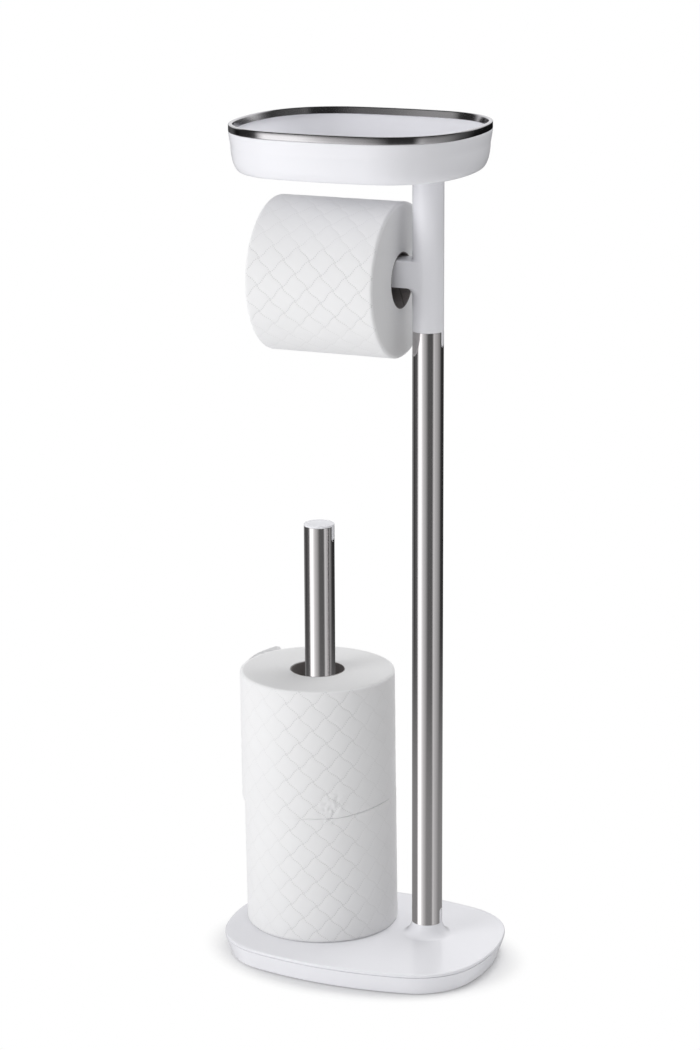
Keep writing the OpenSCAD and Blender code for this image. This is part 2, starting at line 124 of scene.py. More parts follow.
class HOLDER_joint_sizes(bpy.types.PropertyGroup):
    tube_wall: metres("Tube wall", "Wall of the steel tubes", 0.001)
    key_width: metres("Key width", "Width of the keys in the tubes' slots", 0.005)
    key_length: metres("Key length", "Length of the keys", 0.012)
    slot_gap: metres("Slot gap", "Open end of a slot past its key", 0.001)
    fit: metres("Fit", "Gap beside a key", 0.0001)
    spigot: metres("Spigot length", "Length of the spigots inside the tubes", 0.025)


class HOLDER_head_sizes(bpy.types.PropertyGroup):
    arm_height: metres("Arm height", "Height of the arm's section", 0.0224)
    arm_rise: metres("Arm rise", "Height of the arm's middle above the post's end", 0.0464)
    arm_corner: metres("Arm corner", "Radius of the arm's long edges", 0.0012)
    fillet_top: metres("Upper fillet", "Fillet between the column and the arm's top", 0.002)
    fillet_low: metres("Lower fillet", "Fillet between the column and the arm's underside", 0.0075)
    lip: metres("Lip", "Rise of the end cap's lip above the arm", 0.0025)


class HOLDER_tray_sizes(bpy.types.PropertyGroup):
    side_radius: metres("Side radius", "Radius of the tray's bowed front and back", 0.350)
    end_radius: metres("End radius", "Radius of the tray's bowed ends", 0.170)
    corner_radius: metres("Corner radius", "Radius of the tray's corners", 0.066)
    edge_width: metres("Edge width", "Width of the tray's rounded lower edge", 0.008)
    edge_height: metres("Edge height", "Height of the tray's rounded lower edge", 0.0205)
    taper: metres("Taper", "How far the wall leans in above its rounded edge", 0.0017)
    wall: metres("Wall", "Wall of the tray", 0.0024)
    floor: metres("Floor", "Floor of the tray", 0.003)
    band: metres("Band", "Height of the steel band", 0.006)
    band_wall: metres("Band wall", "Thickness of the steel band", 0.0008)
    band_lean: metres("Band lean", "How far the band's inner skin leans in", 0.0009)


class HOLDER_roll_sizes(bpy.types.PropertyGroup):
    cells: IntProperty(name="Cells", description="Embossed cells round a roll", default=18, min=4)
    pillow: metres("Pillow", "Rise of each cell between its embossed lines", 0.00013)
    pillow_width: number("Pillow width", "Width of the hollow beside a line, in cells", 0.2)
    line_width: number("Line width", "Half width of an embossed line, in cells", 0.042)
    wave: number("Wave", "Waviness of the embossed lines, in cells", 0.042)
    wobble: metres("Wobble", "Unevenness of the winding", 0.0005)
    edge_round: metres("Edge round", "Rounding of the rolls' outer edges", 0.0022)
    seam_lift: metres("Seam lift", "Rise of the joint between the spare rolls on the right", 0.0045)
    crumple: metres("Crumple", "Depth of the crumpled spot over that joint", 0.0013)
    core_wall: metres("Core wall", "Wall of the card cores", 0.0009)


class HOLDER_colours(bpy.types.PropertyGroup):
    white: colour("White moulding", "Gloss white plastic", (0.865, 0.865, 0.9))
    steel: colour("Tube steel", "Brushed steel of the tubes", (0.64, 0.62, 0.625))
    band: colour("Band steel", "Bright steel of the tray's band", (0.5, 0.49, 0.5))
    tissue: colour("Tissue", "Toilet paper", (0.85, 0.85, 0.857))
    card: colour("Card", "Grey card of the cores", (0.20, 0.185, 0.18))
    rubber: colour("Rubber", "Foot pads", (0.035, 0.035, 0.037))
    zinc: colour("Zinc", "Plated rods and screws", (0.55, 0.56, 0.58))
    brass: colour("Brass", "Threaded inserts", (0.72, 0.53, 0.23))
    weight: colour("Weight", "Painted steel weight in the base", (0.05, 0.05, 0.055))


class HOLDER_studio(bpy.types.PropertyGroup):
    azimuth: angle("Azimuth", "Turn of the camera round the holder towards +X", 23.4)
    elevation: angle("Elevation", "Height of the camera above the horizon", 14.86)
    roll: angle("Roll", "Tilt of the camera about its own axis", -0.28)
    distance: metres("Distance", "Distance of the camera from its aim", 2.47, 0.5, 10.0)
    lens: number("Lens", "Focal length on a 36 mm long side, in millimetres", 103.47, 20.0, 300.0)
    aim: FloatVectorProperty(name="Aim", description="Point that the camera looks at",
                             default=(-0.0101, -0.0044, 0.3738), subtype="XYZ", precision=4)


GROUPS = {
    "holder_base": HOLDER_base_sizes,
    "holder_joints": HOLDER_joint_sizes,
    "holder_head": HOLDER_head_sizes,
    "holder_tray": HOLDER_tray_sizes,
    "holder_rolls": HOLDER_roll_sizes,
    "holder_colours": HOLDER_colours,
    "holder_studio": HOLDER_studio,
}


class Wire:
    """A value in a node tree: arithmetic on it adds Math nodes."""

    def __init__(self, tree, socket):
        self.tree = tree
        self.socket = socket

    def math(self, operation, *values):
        return self.tree.add("ShaderNodeMath", {"operation": operation}, [self, *values])

    __add__ = __radd__ = partialmethod(math, "ADD")
    __sub__ = partialmethod(math, "SUBTRACT")
    __mul__ = __rmul__ = partialmethod(math, "MULTIPLY")
    __truediv__ = partialmethod(math, "DIVIDE")
    __pow__ = partialmethod(math, "POWER")
    __abs__ = partialmethod(math, "ABSOLUTE")

    def __rsub__(self, other):
        return self.tree.add("ShaderNodeMath", {"operation": "SUBTRACT"}, [other, self])


class Tree:
    """Adds nodes to a shader or geometry node tree."""

    def __init__(self, node_tree):
        self.node_tree = node_tree

    def add(self, kind, settings=None, values=None, out=0):
        """One node: its settings first, then the values or links of its sockets."""
        node = self.node_tree.nodes.new(kind)
        for key, setting in (settings or {}).items():
            if key == "stops":
                fill_ramp(node.color_ramp, setting)
            else:
                setattr(node, key, setting)
        pairs = values.items() if isinstance(values, dict) else enumerate(values or [])
        for key, value in pairs:
            if isinstance(value, Wire):
                self.node_tree.links.new(value.socket, node.inputs[key])
            elif value is not None:
                node.inputs[key].default_value = value
        return Wire(self, node.outputs[out]) if len(node.outputs) else node

    def step(self, value, low, high, start=0.0, end=1.0):
        """A smooth step of value from low to high."""
        return self.add("ShaderNodeMapRange", {"interpolation_type": "SMOOTHSTEP"},
                        [value, low, high, start, end])

    def fall(self, value, low, high):
        """A smooth step from 1 at low to 0 at high."""
        return self.step(value, low, high, 1.0, 0.0)

    def noise(self, vector, scale, detail, seed, roughness=0.5):
        return self.add("ShaderNodeTexNoise", {"noise_dimensions": "4D"},
                        {"Vector": vector, "W": seed, "Scale": scale, "Detail": detail,
                         "Roughness": roughness})

    def mix_colour(self, share, first, second):
        return self.add("ShaderNodeMix", {"data_type": "RGBA"}, {0: share, 6: first, 7: second}, 2)

    def shades(self, share, rgb, low, high):
        """Two shades of one colour, mixed by share."""
        return self.mix_colour(share, opaque(rgb, low), opaque(rgb, high))

    def xyz(self, vector):
        node = self.add("ShaderNodeSeparateXYZ", None, [vector]).socket.node
        return [Wire(self, socket) for socket in node.outputs]

    def vector(self, operation, *values, out=0, **named):
        """Vector maths: values go to the sockets in order, and named ones by name."""
        inputs = {**dict(enumerate(values)), **named}
        return self.add("ShaderNodeVectorMath", {"operation": operation}, inputs, out)

    def stretch(self, vector, scale):
        return self.vector("MULTIPLY", vector, scale)


def fill_ramp(ramp, stops):
    """Sets a colour ramp's stops from a list of (place, grey)."""
    while len(ramp.elements) < len(stops):
        ramp.elements.new(1.0)
    for element, (place, grey) in zip(ramp.elements, stops):
        element.position = place
        element.color = (grey, grey, grey, 1.0)


def opaque(rgb, share=1.0):
    return (*[c * share for c in rgb], 1.0)


# Materials


def new_material(name):
    """An empty material, its tree and its Object coordinates."""
    material = bpy.data.materials.new(name)
    material.use_nodes = True
    material.node_tree.nodes.clear()
    tree = Tree(material.node_tree)
    return material, tree, tree.add("ShaderNodeTexCoord", out=3)


def close_material(tree, **sockets):
    """The surface shader and the output, with sockets named by words joined by underscores."""
    values = {key.replace("_", " ").title().replace("Ior", "IOR"): value
              for key, value in sockets.items()}
    surface = tree.add("ShaderNodeBsdfPrincipled", None, values)
    tree.add("ShaderNodeOutputMaterial", None, {"Surface": surface})


def bump(tree, height, distance, strength=1.0):
    return tree.add("ShaderNodeBump", None,
                    {"Height": height, "Distance": distance, "Strength": strength})


def white_plastic(colours):
    """Gloss white moulding: faint tone drift, uneven gloss and a fine moulded skin."""
    material, tree, place = new_material("gloss_white_moulding")
    drift = tree.noise(place, scale=9.0, detail=2.0, seed=1.0)
    moulded = tree.noise(place, scale=900.0, detail=2.0, seed=2.0)
    sheen = tree.noise(place, scale=14.0, detail=2.0, seed=3.0)
    close_material(tree, base_color=tree.shades(drift, colours.white, 0.985, 1.01),
                   roughness=0.22 + sheen * 0.06, specular_ior_level=0.5,
                   normal=bump(tree, moulded, 0.000004, 0.3))
    return material


def brushed_steel(name, rgb, along, rough):
    """Steel brushed along one axis: streaks vary its tone, roughness and relief."""
    material, tree, place = new_material(name)
    fine = tree.noise(tree.stretch(place, along), scale=1.0, detail=3.0, seed=4.0, roughness=0.6)
    # The broad streaks are about eight times the fine ones
    wide = tree.stretch(place, tuple(a * 0.12 for a in along))
    broad = tree.noise(wide, scale=1.0, detail=2.0, seed=5.0)
    tone = tree.shades(fine * 0.6 + broad * 0.4, rgb, 0.9, 1.1)
    close_material(tree, base_color=tone, metallic=1.0,
                   roughness=rough + fine * 0.05 + broad * 0.03,
                   normal=bump(tree, fine, 0.000004, 0.3))
    return material


def grained(name, rgb, rough, scale, seed, shades, uneven, relief, metallic):
    """One colour under a fine grain, which varies its tone, roughness and relief."""
    material, tree, place = new_material(name)
    grain = tree.noise(place, scale, detail=3.0, seed=seed)
    close_material(tree, base_color=tree.shades(grain, rgb, *shades), metallic=metallic,
                   roughness=rough + grain * uneven, normal=bump(tree, grain, relief, 0.3))
    return material


def plain_metal(name, rgb, rough):
    """Small metal parts: a mottled finish."""
    return grained(name, rgb, rough, scale=700.0, seed=6.0, shades=(0.82, 1.12), uneven=0.15,
                   relief=0.03 * MM, metallic=1.0)


def matt_finish(name, rgb, rough):
    """Rubber or paint: a fine pebble."""
    return grained(name, rgb, rough, scale=500.0, seed=7.0, shades=(0.8, 1.25), uneven=0.12,
                   relief=0.1 * MM, metallic=0.0)


def diamond_lines(tree, around, along, wave, width):
    """Wavy diamond lines on a grid of unit cells: the groove, and the dots along the lines."""
    turn = 2 * math.pi
    rising = around + along
    falling = around - along
    lines = []
    for first, second, sign in ((rising, falling, 1), (falling, rising, -1)):
        bent = first + (second * turn).math("SINE") * (wave * sign)
        offset = abs((bent + 0.5).math("FLOORED_MODULO", 1.0) - 0.5)
        dots = (second * (turn * 9)).math("COSINE") * 0.5 + 0.5
        lines.append((tree.fall(offset, 0.0, width), dots))
    groove = lines[0][0].math("MAXIMUM", lines[1][0])
    beads = (lines[0][0] * lines[0][1]).math("MAXIMUM", lines[1][0] * lines[1][1])
    return groove, beads


def roll_space(tree, place, roll):
    """Coordinates in a roll's own axes, from the middle of the face where its axis starts."""
    return tree.add("ShaderNodeMapping", {"vector_type": "POINT"},
                    {"Vector": place, "Location": -(roll.turn.to_matrix() @ roll.centre),
                     "Rotation": roll.turn})


def wrap_coordinates(tree, place, cells, cell):
    """Turns round the local Z axis and height, both in cells, and the radius."""
    x, y, z = tree.xyz(place)
    around = y.math("ARCTAN2", x) * (cells / (2 * math.pi))
    radius = (x * x + y * y).math("SQRT")
    return around, z / cell, radius


def tissue(name, colours, sizes, roll, facing):
    """Embossed toilet paper: dotted diamond lines, with painted shade in their grooves and painted
    highlights on their dots, clearest towards the facing direction of the roll's own axes, fibres,
    and wound layers on the end faces."""
    material, tree, place = new_material(name)
    local = roll_space(tree, place, roll)
    around, along, radius = wrap_coordinates(tree, local, sizes.cells, roll.cell)
    groove, beads = diamond_lines(tree, around, along, sizes.wave, sizes.line_width)
    edge = 1.6 * MM
    side = tree.step(radius, roll.radius - 2 * edge, roll.radius - edge)
    fibre = tree.noise(local, scale=900.0, detail=4.0, seed=8.0, roughness=0.65)
    cloud = tree.noise(local, scale=28.0, detail=2.0, seed=9.0)
    wound = tree.add("ShaderNodeCombineXYZ", None, [radius, around * 0.0004, 0.0])
    layers = tree.noise(wound, scale=2600.0, detail=2.0, seed=10.0)
    # The embossing shows most where the light grazes it, towards facing: its relief, and the
    # painted shade and painted highlights of its lines, are strongest there
    direction = tree.vector("NORMALIZE", tree.stretch(local, (1.0, 1.0, 0.0)))
    turned = tree.vector("DOT_PRODUCT", direction, facing, out=1)
    shown = (0.4 + 0.6 * tree.step(turned, 0.8, 0.93)) * (0.7 + cloud * 0.6)
    relief = side * (beads - groove * 0.8) * shown + (1 - side) * layers * 0.5 + fibre * 0.12
    tone = tree.shades(cloud, colours.tissue, 0.975, 1.015)
    ends = tree.shades(layers, colours.tissue, 0.86, 0.93)
    shade = tree.mix_colour(side, ends, tone)
    # Painted shade: the grooves between the dots are darkened towards half the tissue's colour
    painted_groove_shade = tree.mix_colour(side * (groove - beads) * 0.5 * shown, shade,
                             opaque(colours.tissue, 0.5))
    # Painted highlights: the dots on the lines are lightened past the tissue's colour
    marked = tree.mix_colour(side * beads * 0.5 * shown, painted_groove_shade, opaque(colours.tissue, 1.12))
    close_material(tree, base_color=marked, roughness=0.92, specular_ior_level=0.15,
                   sheen_weight=0.12, sheen_roughness=0.6, normal=bump(tree, relief, 0.0004, 0.8))
    return material


def core_card(name, colours, roll):
    """Grey card: a wound strip's spiral joint and short fibres."""
    material, tree, place = new_material(name)
    local = roll_space(tree, place, roll)
    pitch = 75 * MM
    around, along, _ = wrap_coordinates(tree, local, 1.0, pitch)
    lap = abs((around + along).math("FLOORED_MODULO", 1.0) - 0.5)
    joint = tree.fall(lap, 0.0, 0.012)
    fibre = tree.noise(local, scale=700.0, detail=4.0, seed=11.0, roughness=0.7)
    tone = tree.shades(fibre, colours.card, 0.7, 1.3)
    marked = tree.mix_colour(joint * 0.6, tone, opaque(colours.card, 0.35))
    close_material(tree, base_color=marked, roughness=0.85, specular_ior_level=0.25,
                   normal=bump(tree, fibre - joint, 0.0002, 0.5))
    return material


# Mesh building


def outline(shape, inset, steps=(10, 26, 18)):
    """Closed outline of eight tangent arcs, moved in by inset, anticlockwise from +X.

    shape is (width, depth, side radius, end radius, corner radius)."""
    width, depth, side_r, end_r, corner_r = shape
    side = Vector((0, depth / 2 - side_r))
    end = Vector((width / 2 - end_r, 0))
    gap = end - side
    unit = gap.normalized()
    near, far = side_r - corner_r, end_r - corner_r
    share = (near * near - far * far + gap.length_squared) / (2 * gap.length)
    across = Vector((unit.y, -unit.x))
    corner = side + unit * share + across * math.sqrt(near * near - share * share)
    turn_end = math.atan2(corner.y - end.y, corner.x - end.x)
    turn_side = math.atan2(corner.y - side.y, corner.x - side.x)
    arcs = ((end, end_r, 0, turn_end), (corner, corner_r, turn_end, turn_side),
            (side, side_r, turn_side, math.pi / 2))
    quarter = [centre + (radius - inset) * Vector((math.cos(a), math.sin(a)))
               for (centre, radius, a0, a1), n in zip(arcs, steps)
               for a in [a0 + (a1 - a0) * i / n for i in range(n)]]
    quarter.append(Vector((0, depth / 2 - inset)))
    half = quarter + [Vector((-p.x, p.y)) for p in quarter[-2:0:-1]]
    return half + [-p for p in half]


def raised(points, z, centre=(0, 0)):
    """A flat ring of points at a height."""
    return [Vector((p.x + centre[0], p.y + centre[1], z)) for p in points]


def quarter_turn(count):
    """Angles from 0 to a right angle in equal steps."""
    return [math.pi / 2 * i / count for i in range(count + 1)]


def skin(rings, loop=False):
    """Vertices and faces over rings of equal count, closed at its ends or joined into a loop."""
    count = len(rings[0])
    levels = len(rings)
    points = [p for ring in rings for p in ring]
    faces = []
    for j in range(levels if loop else levels - 1):
        above = (j + 1) % levels
        for i in range(count):
            k = (i + 1) % count
            faces.append((j * count + i, j * count + k, above * count + k, above * count + i))
    if not loop:
        faces.append(tuple(reversed(range(count))))
        faces.append(tuple((levels - 1) * count + i for i in range(count)))
    return points, faces


def lathe(profile, segments, centre=(0, 0), loop=False):
    """Vertices and faces of a turned shape.

    The profile is a list of (radius, z) from axis to axis, or in a loop."""
    turns = [2 * math.pi * i / segments for i in range(segments)]
    rings = [[Vector((r * math.cos(a) + centre[0], r * math.sin(a) + centre[1], z))
              for a in turns] for r, z in profile]
    return skin(rings, loop)


def moulding(shape, profile, centre=(0, 0), loop=False):
    """Vertices and faces over an outline, with a profile of (inset, z)."""
    return skin([raised(outline(shape, inset), z, centre) for inset, z in profile], loop)


def shell_faces(columns, rows):
    """Faces of a closed sheet: two grids of (columns + 1) x (rows + 1) points and their edges."""
    faces = []
    layer = (columns + 1) * (rows + 1)
    spot = lambda side, i, j: side * layer + i * (rows + 1) + j
    for i in range(columns):
        for j in range(rows):
            face = ((i, j), (i + 1, j), (i + 1, j + 1), (i, j + 1))
            faces.append(tuple(spot(0, *corner) for corner in face))
            faces.append(tuple(spot(1, *corner) for corner in reversed(face)))
        for j in (0, rows):
            faces.append((spot(0, i, j), spot(1, i, j), spot(1, i + 1, j), spot(0, i + 1, j)))
    for j in range(rows):
        for i in (0, columns):
            faces.append((spot(0, i, j), spot(0, i, j + 1), spot(1, i, j + 1), spot(1, i, j)))
    return faces


def tab(width, length, r0, r1, z, up, centre):
    """Round-ended tab wrapped on a tube's +X side between two radii, running up or down from z."""
    columns, rows = 14, 10
    flip = 1 if up else -1
    grid = []
    for radius in (r1, r0):
        for i in range(columns + 1):
            y = -width / 2 * math.cos(math.pi * i / columns)
            top = length - width / 2 + math.sqrt(max(width * width / 4 - y * y, 0.0))
            x = math.sqrt(radius * radius - y * y)
            for j in range(rows + 1):
                grid.append(Vector((centre.x + x, centre.y + y, z + flip * top * j / rows)))
    return grid, shell_faces(columns, rows)


def add_object(name, data):
    """An object for some data, linked to the scene."""
    item = bpy.data.objects.new(name, data)
    bpy.context.scene.collection.objects.link(item)
    return item


def new_object(name, *solids):
    """An object from (points, faces) solids, with doubles merged and faces turned outwards."""
    points, faces = [], []
    for solid_points, solid_faces in solids:
        start = len(points)
        points.extend(solid_points)
        faces.extend(tuple(start + i for i in face) for face in solid_faces)
    mesh = bpy.data.meshes.new(name)
    mesh.from_pydata([tuple(p) for p in points], [], faces)
    bm = bmesh.new()
    bm.from_mesh(mesh)
    bmesh.ops.remove_doubles(bm, verts=bm.verts, dist=1e-6)
    bmesh.ops.recalc_face_normals(bm, faces=bm.faces)
    bm.to_mesh(mesh)
    bm.free()
    return add_object(name, mesh)


def settle(item):
    """Turns an object's modifiers into its plain mesh."""
    view = bpy.context.evaluated_depsgraph_get()
    made = bpy.data.meshes.new_from_object(item.evaluated_get(view))
    item.modifiers.clear()
    item.data = made
    made.name = item.name


def combine(item, operation, *tools):
    """A boolean of item with other objects, which are used up."""
    for tool in tools:
        change = item.modifiers.new(operation.lower(), "BOOLEAN")
        change.operation = operation
        change.solver = "EXACT"
        change.object = tool
    bpy.context.view_layer.update()
    settle(item)
    clean(item)
    for tool in tools:
        bpy.data.objects.remove(tool)
    return item


def clean(item):
    """Merges doubles and dissolves the flat slivers that a boolean leaves."""
    reach = 2e-6
    bm = bmesh.new()
    bm.from_mesh(item.data)
    bmesh.ops.remove_doubles(bm, verts=bm.verts, dist=reach)
    bmesh.ops.dissolve_degenerate(bm, edges=bm.edges, dist=reach)
    bm.to_mesh(item.data)
    bm.free()


def join(item, *others):
    """Adds other objects' meshes to one, and uses them up."""
    bm = bmesh.new()
    for source in (item, *others):
        bm.from_mesh(source.data)
    bm.to_mesh(item.data)
    bm.free()
    for other in others:
        bpy.data.objects.remove(other)


def finish(item, body, material, slot, *nodes, sharp=35.0, mirrored=False):
    """Smooth shading up to an angle, the material, and the piece's place in the frame."""
    item.visible_glossy = mirrored
    item.data.shade_smooth()
    item.data.set_sharp_from_angle(angle=math.radians(sharp))
    if material is not None:
        item.data.materials.clear()
        item.data.materials.append(material)
    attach(item, body)
    if nodes:
        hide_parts(*nodes)


def drum(r, z0, z1, centre, segments=96):
    """A plain round solid, used as a cutter or a boss."""
    return lathe([(0, z0), (r, z0), (r, z1), (0, z1)], segments, centre)


def dress(node, material):
    """Gives a CAD node that stays its material."""
    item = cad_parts[node]
    item.data.materials.clear()
    item.data.materials.append(material)
    item.visible_glossy = False


# Geometry node trees


def new_node_group(name, **inputs):
    """A geometry tree with a Geometry input and the named inputs, listed by their kind."""
    group = bpy.data.node_groups.new(name, "GeometryNodeTree")
    sockets = [(key, kind, "INPUT") for kind, keys in inputs.items() for key in keys]
    for key, kind, side in [("Geometry", "Geometry", "INPUT"), *sockets,
                            ("Geometry", "Geometry", "OUTPUT")]:
        group.interface.new_socket(name=key, in_out=side, socket_type="NodeSocket" + kind)
    source = group.nodes.new("NodeGroupInput")
    tree = Tree(group)
    wires = {socket.name: Wire(tree, socket) for socket in source.outputs if socket.name}
    return group, tree, wires


def close_node_group(tree, geometry, material):
    """Ends a tree in Realize Instances and Set Material."""
    whole = tree.add("GeometryNodeRealizeInstances", None, [geometry])
    dressed = tree.add("GeometryNodeSetMaterial", None, {"Geometry": whole, "Material": material})
    tree.add("NodeGroupOutput", None, [dressed])


def apply_group(item, group, values):
    """Runs a geometry tree on an object and keeps the result as its mesh."""
    change = item.modifiers.new(group.name, "NODES")
    change.node_group = group
    names = {s.name: s.identifier for s in group.interface.items_tree if s.in_out == "INPUT"}
    for key, value in values.items():
        change[names[key]] = value
    bpy.context.view_layer.update()
    settle(item)


def embossing_group():
    """Shapes a wound roll: puffed cells between the embossed lines, an uneven winding and a lean.

    Where two rolls meet, their edges close on the Left side and at the far right and stand a
    little open between. The joint rises to the right and has one crumpled spot."""
    group, tree, given = new_node_group(
        "roll_shape",
        Float=("Cells", "Cell Size", "Pillow", "Width", "Wave", "Wobble", "Height", "Radius",
               "Edge", "Seam Height", "Seam Lift", "Joined", "Touch", "Crumple", "Seed"),
        Vector=("Lean", "Left", "Crumple Spot"), Material=("Material",))
    place = tree.add("GeometryNodeInputPosition")
    normal = tree.add("GeometryNodeInputNormal")
    x, y, z = tree.xyz(place)
    radius = (x * x + y * y).math("SQRT")
    flat = tree.add("ShaderNodeCombineXYZ", None, [x / radius, y / radius, 0.0])
    leftward = tree.vector("DOT_PRODUCT", flat, given["Left"], out=1)
    around = y.math("ARCTAN2", x) * given["Cells"] / (2 * math.pi)
    groove, _ = diamond_lines(tree, around, z / given["Cell Size"], given["Wave"], given["Width"])
    # The winding swells and shrinks on the side, and the end faces wave a little
    side = tree.fall(abs(tree.xyz(normal)[2]), 0.2, 0.9)
    drawn_out = tree.stretch(place, (1.0, 1.0, 0.35))
    uneven = tree.noise(drawn_out, scale=22.0, detail=1.5, seed=given["Seed"])
    ends = tree.noise(place, scale=40.0, detail=1.0, seed=given["Seed"] + 7.0)
    swell = (uneven - 0.5) * 2.0 * given["Wobble"]
    gap = tree.vector("DISTANCE", place, given["Crumple Spot"], out=1)
    creases = tree.noise(place, scale=210.0, detail=4.0, seed=3.0) - 0.48
    crumpled = tree.fall(gap, 3 * MM, 17 * MM) * creases
    push = (side * (swell - groove * given["Pillow"]) + (1 - side) * (ends - 0.5) * given["Wobble"]
            + crumpled * given["Crumple"] * 4.0)
    # The joint with the other roll
    near_seam = tree.fall(abs(z - given["Seam Height"]), 0.0, 28 * MM)
    in_round = tree.step(radius, given["Radius"] - given["Edge"] * 1.05,
                         given["Radius"] - given["Edge"])
    closed = 1 - tree.step(leftward, 0.35, 0.0) * tree.step(leftward, -0.93, -0.82) * 0.5
    tight = near_seam * in_round * closed * given["Joined"] * (given["Radius"] - radius) * 0.97
    touch = near_seam * in_round * closed * given["Touch"]
    rise = near_seam * tree.step(leftward, -0.1, -0.95) * given["Seam Lift"] + touch
    moves = [tree.vector("SCALE", normal, Scale=push), tree.vector("SCALE", flat, Scale=tight),
             tree.vector("SCALE", given["Lean"], Scale=z / given["Height"] - 0.5),
             tree.add("ShaderNodeCombineXYZ", None, [0.0, 0.0, rise])]
    moved = tree.vector("ADD", tree.vector("ADD", *moves[:2]), tree.vector("ADD", *moves[2:]))
    shaped = tree.add("GeometryNodeSetPosition", None,
                      {"Geometry": given["Geometry"], "Offset": moved})
    close_node_group(tree, shaped, given["Material"])
    return group


def scatter_group():
    """Puts one part on every point of the input mesh."""
    group, tree, given = new_node_group("part_on_points", Object=("Part",),
                                        Material=("Material",))
    part = tree.add("GeometryNodeObjectInfo", None, [given["Part"]]).socket.node.outputs["Geometry"]
    points = tree.add("GeometryNodeMeshToPoints", None, [given["Geometry"]])
    copies = tree.add("GeometryNodeInstanceOnPoints", None,
                      {"Points": points, "Instance": Wire(tree, part)})
    close_node_group(tree, copies, given["Material"])
    return group


# Pieces


class Roll:
    """Place and size of one roll, taken from the frame: its own axis is local Z."""

    def __init__(self, body, lying=False):
        self.body = body
        self.lying = lying
        low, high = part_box(body + "_paper")
        core_low, core_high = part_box(body + "_core")
        along = 0 if lying else 2
        self.radius = (high.y - low.y) / 2
        self.core_radius = (core_high.y - core_low.y) / 2
        self.height = high[along] - low[along]
        self.centre = (low + high) / 2
        self.centre[along] = low[along]
        self.turn = Euler((0, -math.pi / 2 if lying else 0, 0))
        self.cell = self.height / CELLS_ALONG

    def place(self, item):
        """Moves a mesh from the roll's own axes to the frame's."""
        turn = Matrix.Rotation(math.pi / 2, 4, "Y") if self.lying else Matrix.Identity(4)
        item.data.transform(Matrix.Translation(self.centre) @ turn)
        return item


def roll_profile(roll, sizes):
    """Loop of (radius, z) round a roll's paper, with enough rings for the embossing."""
    edge = sizes.edge_round
    side_rings, face_rings, bore_rings, round_rings = 132, 9, 4, 4
    bore = roll.core_radius
    face = [bore + (roll.radius - edge - bore) * (i / face_rings) for i in range(face_rings)]
    rounds = [(roll.radius - edge + edge * math.sin(a), edge - edge * math.cos(a))
              for a in quarter_turn(round_rings)]
    side = [(roll.radius, edge + (roll.height - 2 * edge) * i / side_rings)
            for i in range(1, side_rings)]
    lower = [(r, 0.0) for r in face] + rounds
    upper = [(r, roll.height - z) for r, z in reversed(lower)]
    inner = [(bore, roll.height * (1 - i / bore_rings)) for i in range(1, bore_rings)]
    return lower + side + upper + inner


def paper_tail(roll, start, end, rise):
    """Loose end of the outer sheet: a thin curved flap that rises over the roll's upper edge."""
    count, layers = 28, 5
    wall, tuck, spread, ripple = 0.22 * MM, 5 * MM, 2.4 * MM, 0.2 * MM
    root = roll.radius - 0.4 * MM
    points = []
    for skin_side in (0.0, wall):
        for i in range(count + 1):
            s = i / count
            turn = start + (end - start) * s
            height = rise * min(1.0, s / 0.12) ** 0.5 * (1 - s) ** 0.9
            for j in range(layers + 1):
                t = j / layers
                flare = spread * t * t * (1 - s) + ripple * math.sin(9 * s + 2 * t)
                radius = root + flare + skin_side
                z = roll.height - tuck + (tuck + height) * t
                points.append(Vector((radius * math.cos(turn), radius * math.sin(turn), z)))
    return points, shell_faces(count, layers)


def build_roll(roll, sizes, colours, group, facing, settings, *extras):
    """Paper and core of one roll. The extras are more solids in the roll's own axes."""
    paper = new_object(roll.body + "_tissue",
                       lathe(roll_profile(roll, sizes), ROLL_SEGMENTS, loop=True))
    material = tissue(roll.body + "_embossed_tissue", colours, sizes, roll, facing)
    apply_group(paper, group, {
        "Cells": float(sizes.cells), "Cell Size": roll.cell, "Pillow": sizes.pillow,
        "Width": sizes.pillow_width, "Wave": sizes.wave, "Wobble": sizes.wobble,
        "Height": roll.height, "Radius": roll.radius, "Edge": sizes.edge_round,
        "Material": material, **settings})
    join(paper, *[new_object("extra", solid) for solid in extras])
    finish(roll.place(paper), roll.body, material, "paper", roll.body + "_paper", sharp=60.0,
           mirrored=roll.lying)
    rim = 0.15 * MM
    outer, top = roll.core_radius, roll.height
    inner = outer - sizes.core_wall
    profile = [(inner, rim), (inner + rim, 0), (outer - rim, 0), (outer, rim),
               (outer, top - rim), (outer - rim, top), (inner + rim, top), (inner, top - rim)]
    core = new_object(roll.body + "_card_core", lathe(profile, 160, loop=True))
    card = core_card(roll.body + "_card", colours, roll)
    finish(roll.place(core), roll.body, card, "card", roll.body + "_core")


class HOLDER_OT_stage(bpy.types.Operator):
    """Adds the floor, the studio light and the camera"""

    bl_idname = "holder.stage"
    bl_label = "Stage"

    def execute(self, context):
        scene = context.scene
        scene.view_settings.view_transform = "Standard"
        build_world(scene)
        build_floor()
        build_cards(scene.holder_studio.azimuth)
        build_lamps()
        build_camera(scene, scene.holder_studio)
        return {"FINISHED"}


def background_rays(tree):
    """1 for rays that see the background: the camera's, mirror rays and rays through glass."""
    node = tree.add("ShaderNodeLightPath").socket.node
    rays = [Wire(tree, node.outputs[key])
            for key in ("Is Camera Ray", "Is Glossy Ray", "Is Transmission Ray")]
    return rays[0].math("MAXIMUM", rays[1]).math("MAXIMUM", rays[2])


def build_world(scene):
    """White to the camera and to mirrors, and a plain soft light for the rest."""
    world = bpy.data.worlds.new("studio")
    world.use_nodes = True
    world.node_tree.nodes.clear()
    tree = Tree(world.node_tree)
    ambient = 0.52
    strength = ambient + (1 - ambient) * background_rays(tree)
    sky = tree.add("ShaderNodeBackground", None, {"Color": (1, 1, 1, 1), "Strength": strength})
    tree.add("ShaderNodeOutputWorld", None, {"Surface": sky})
    scene.world = world


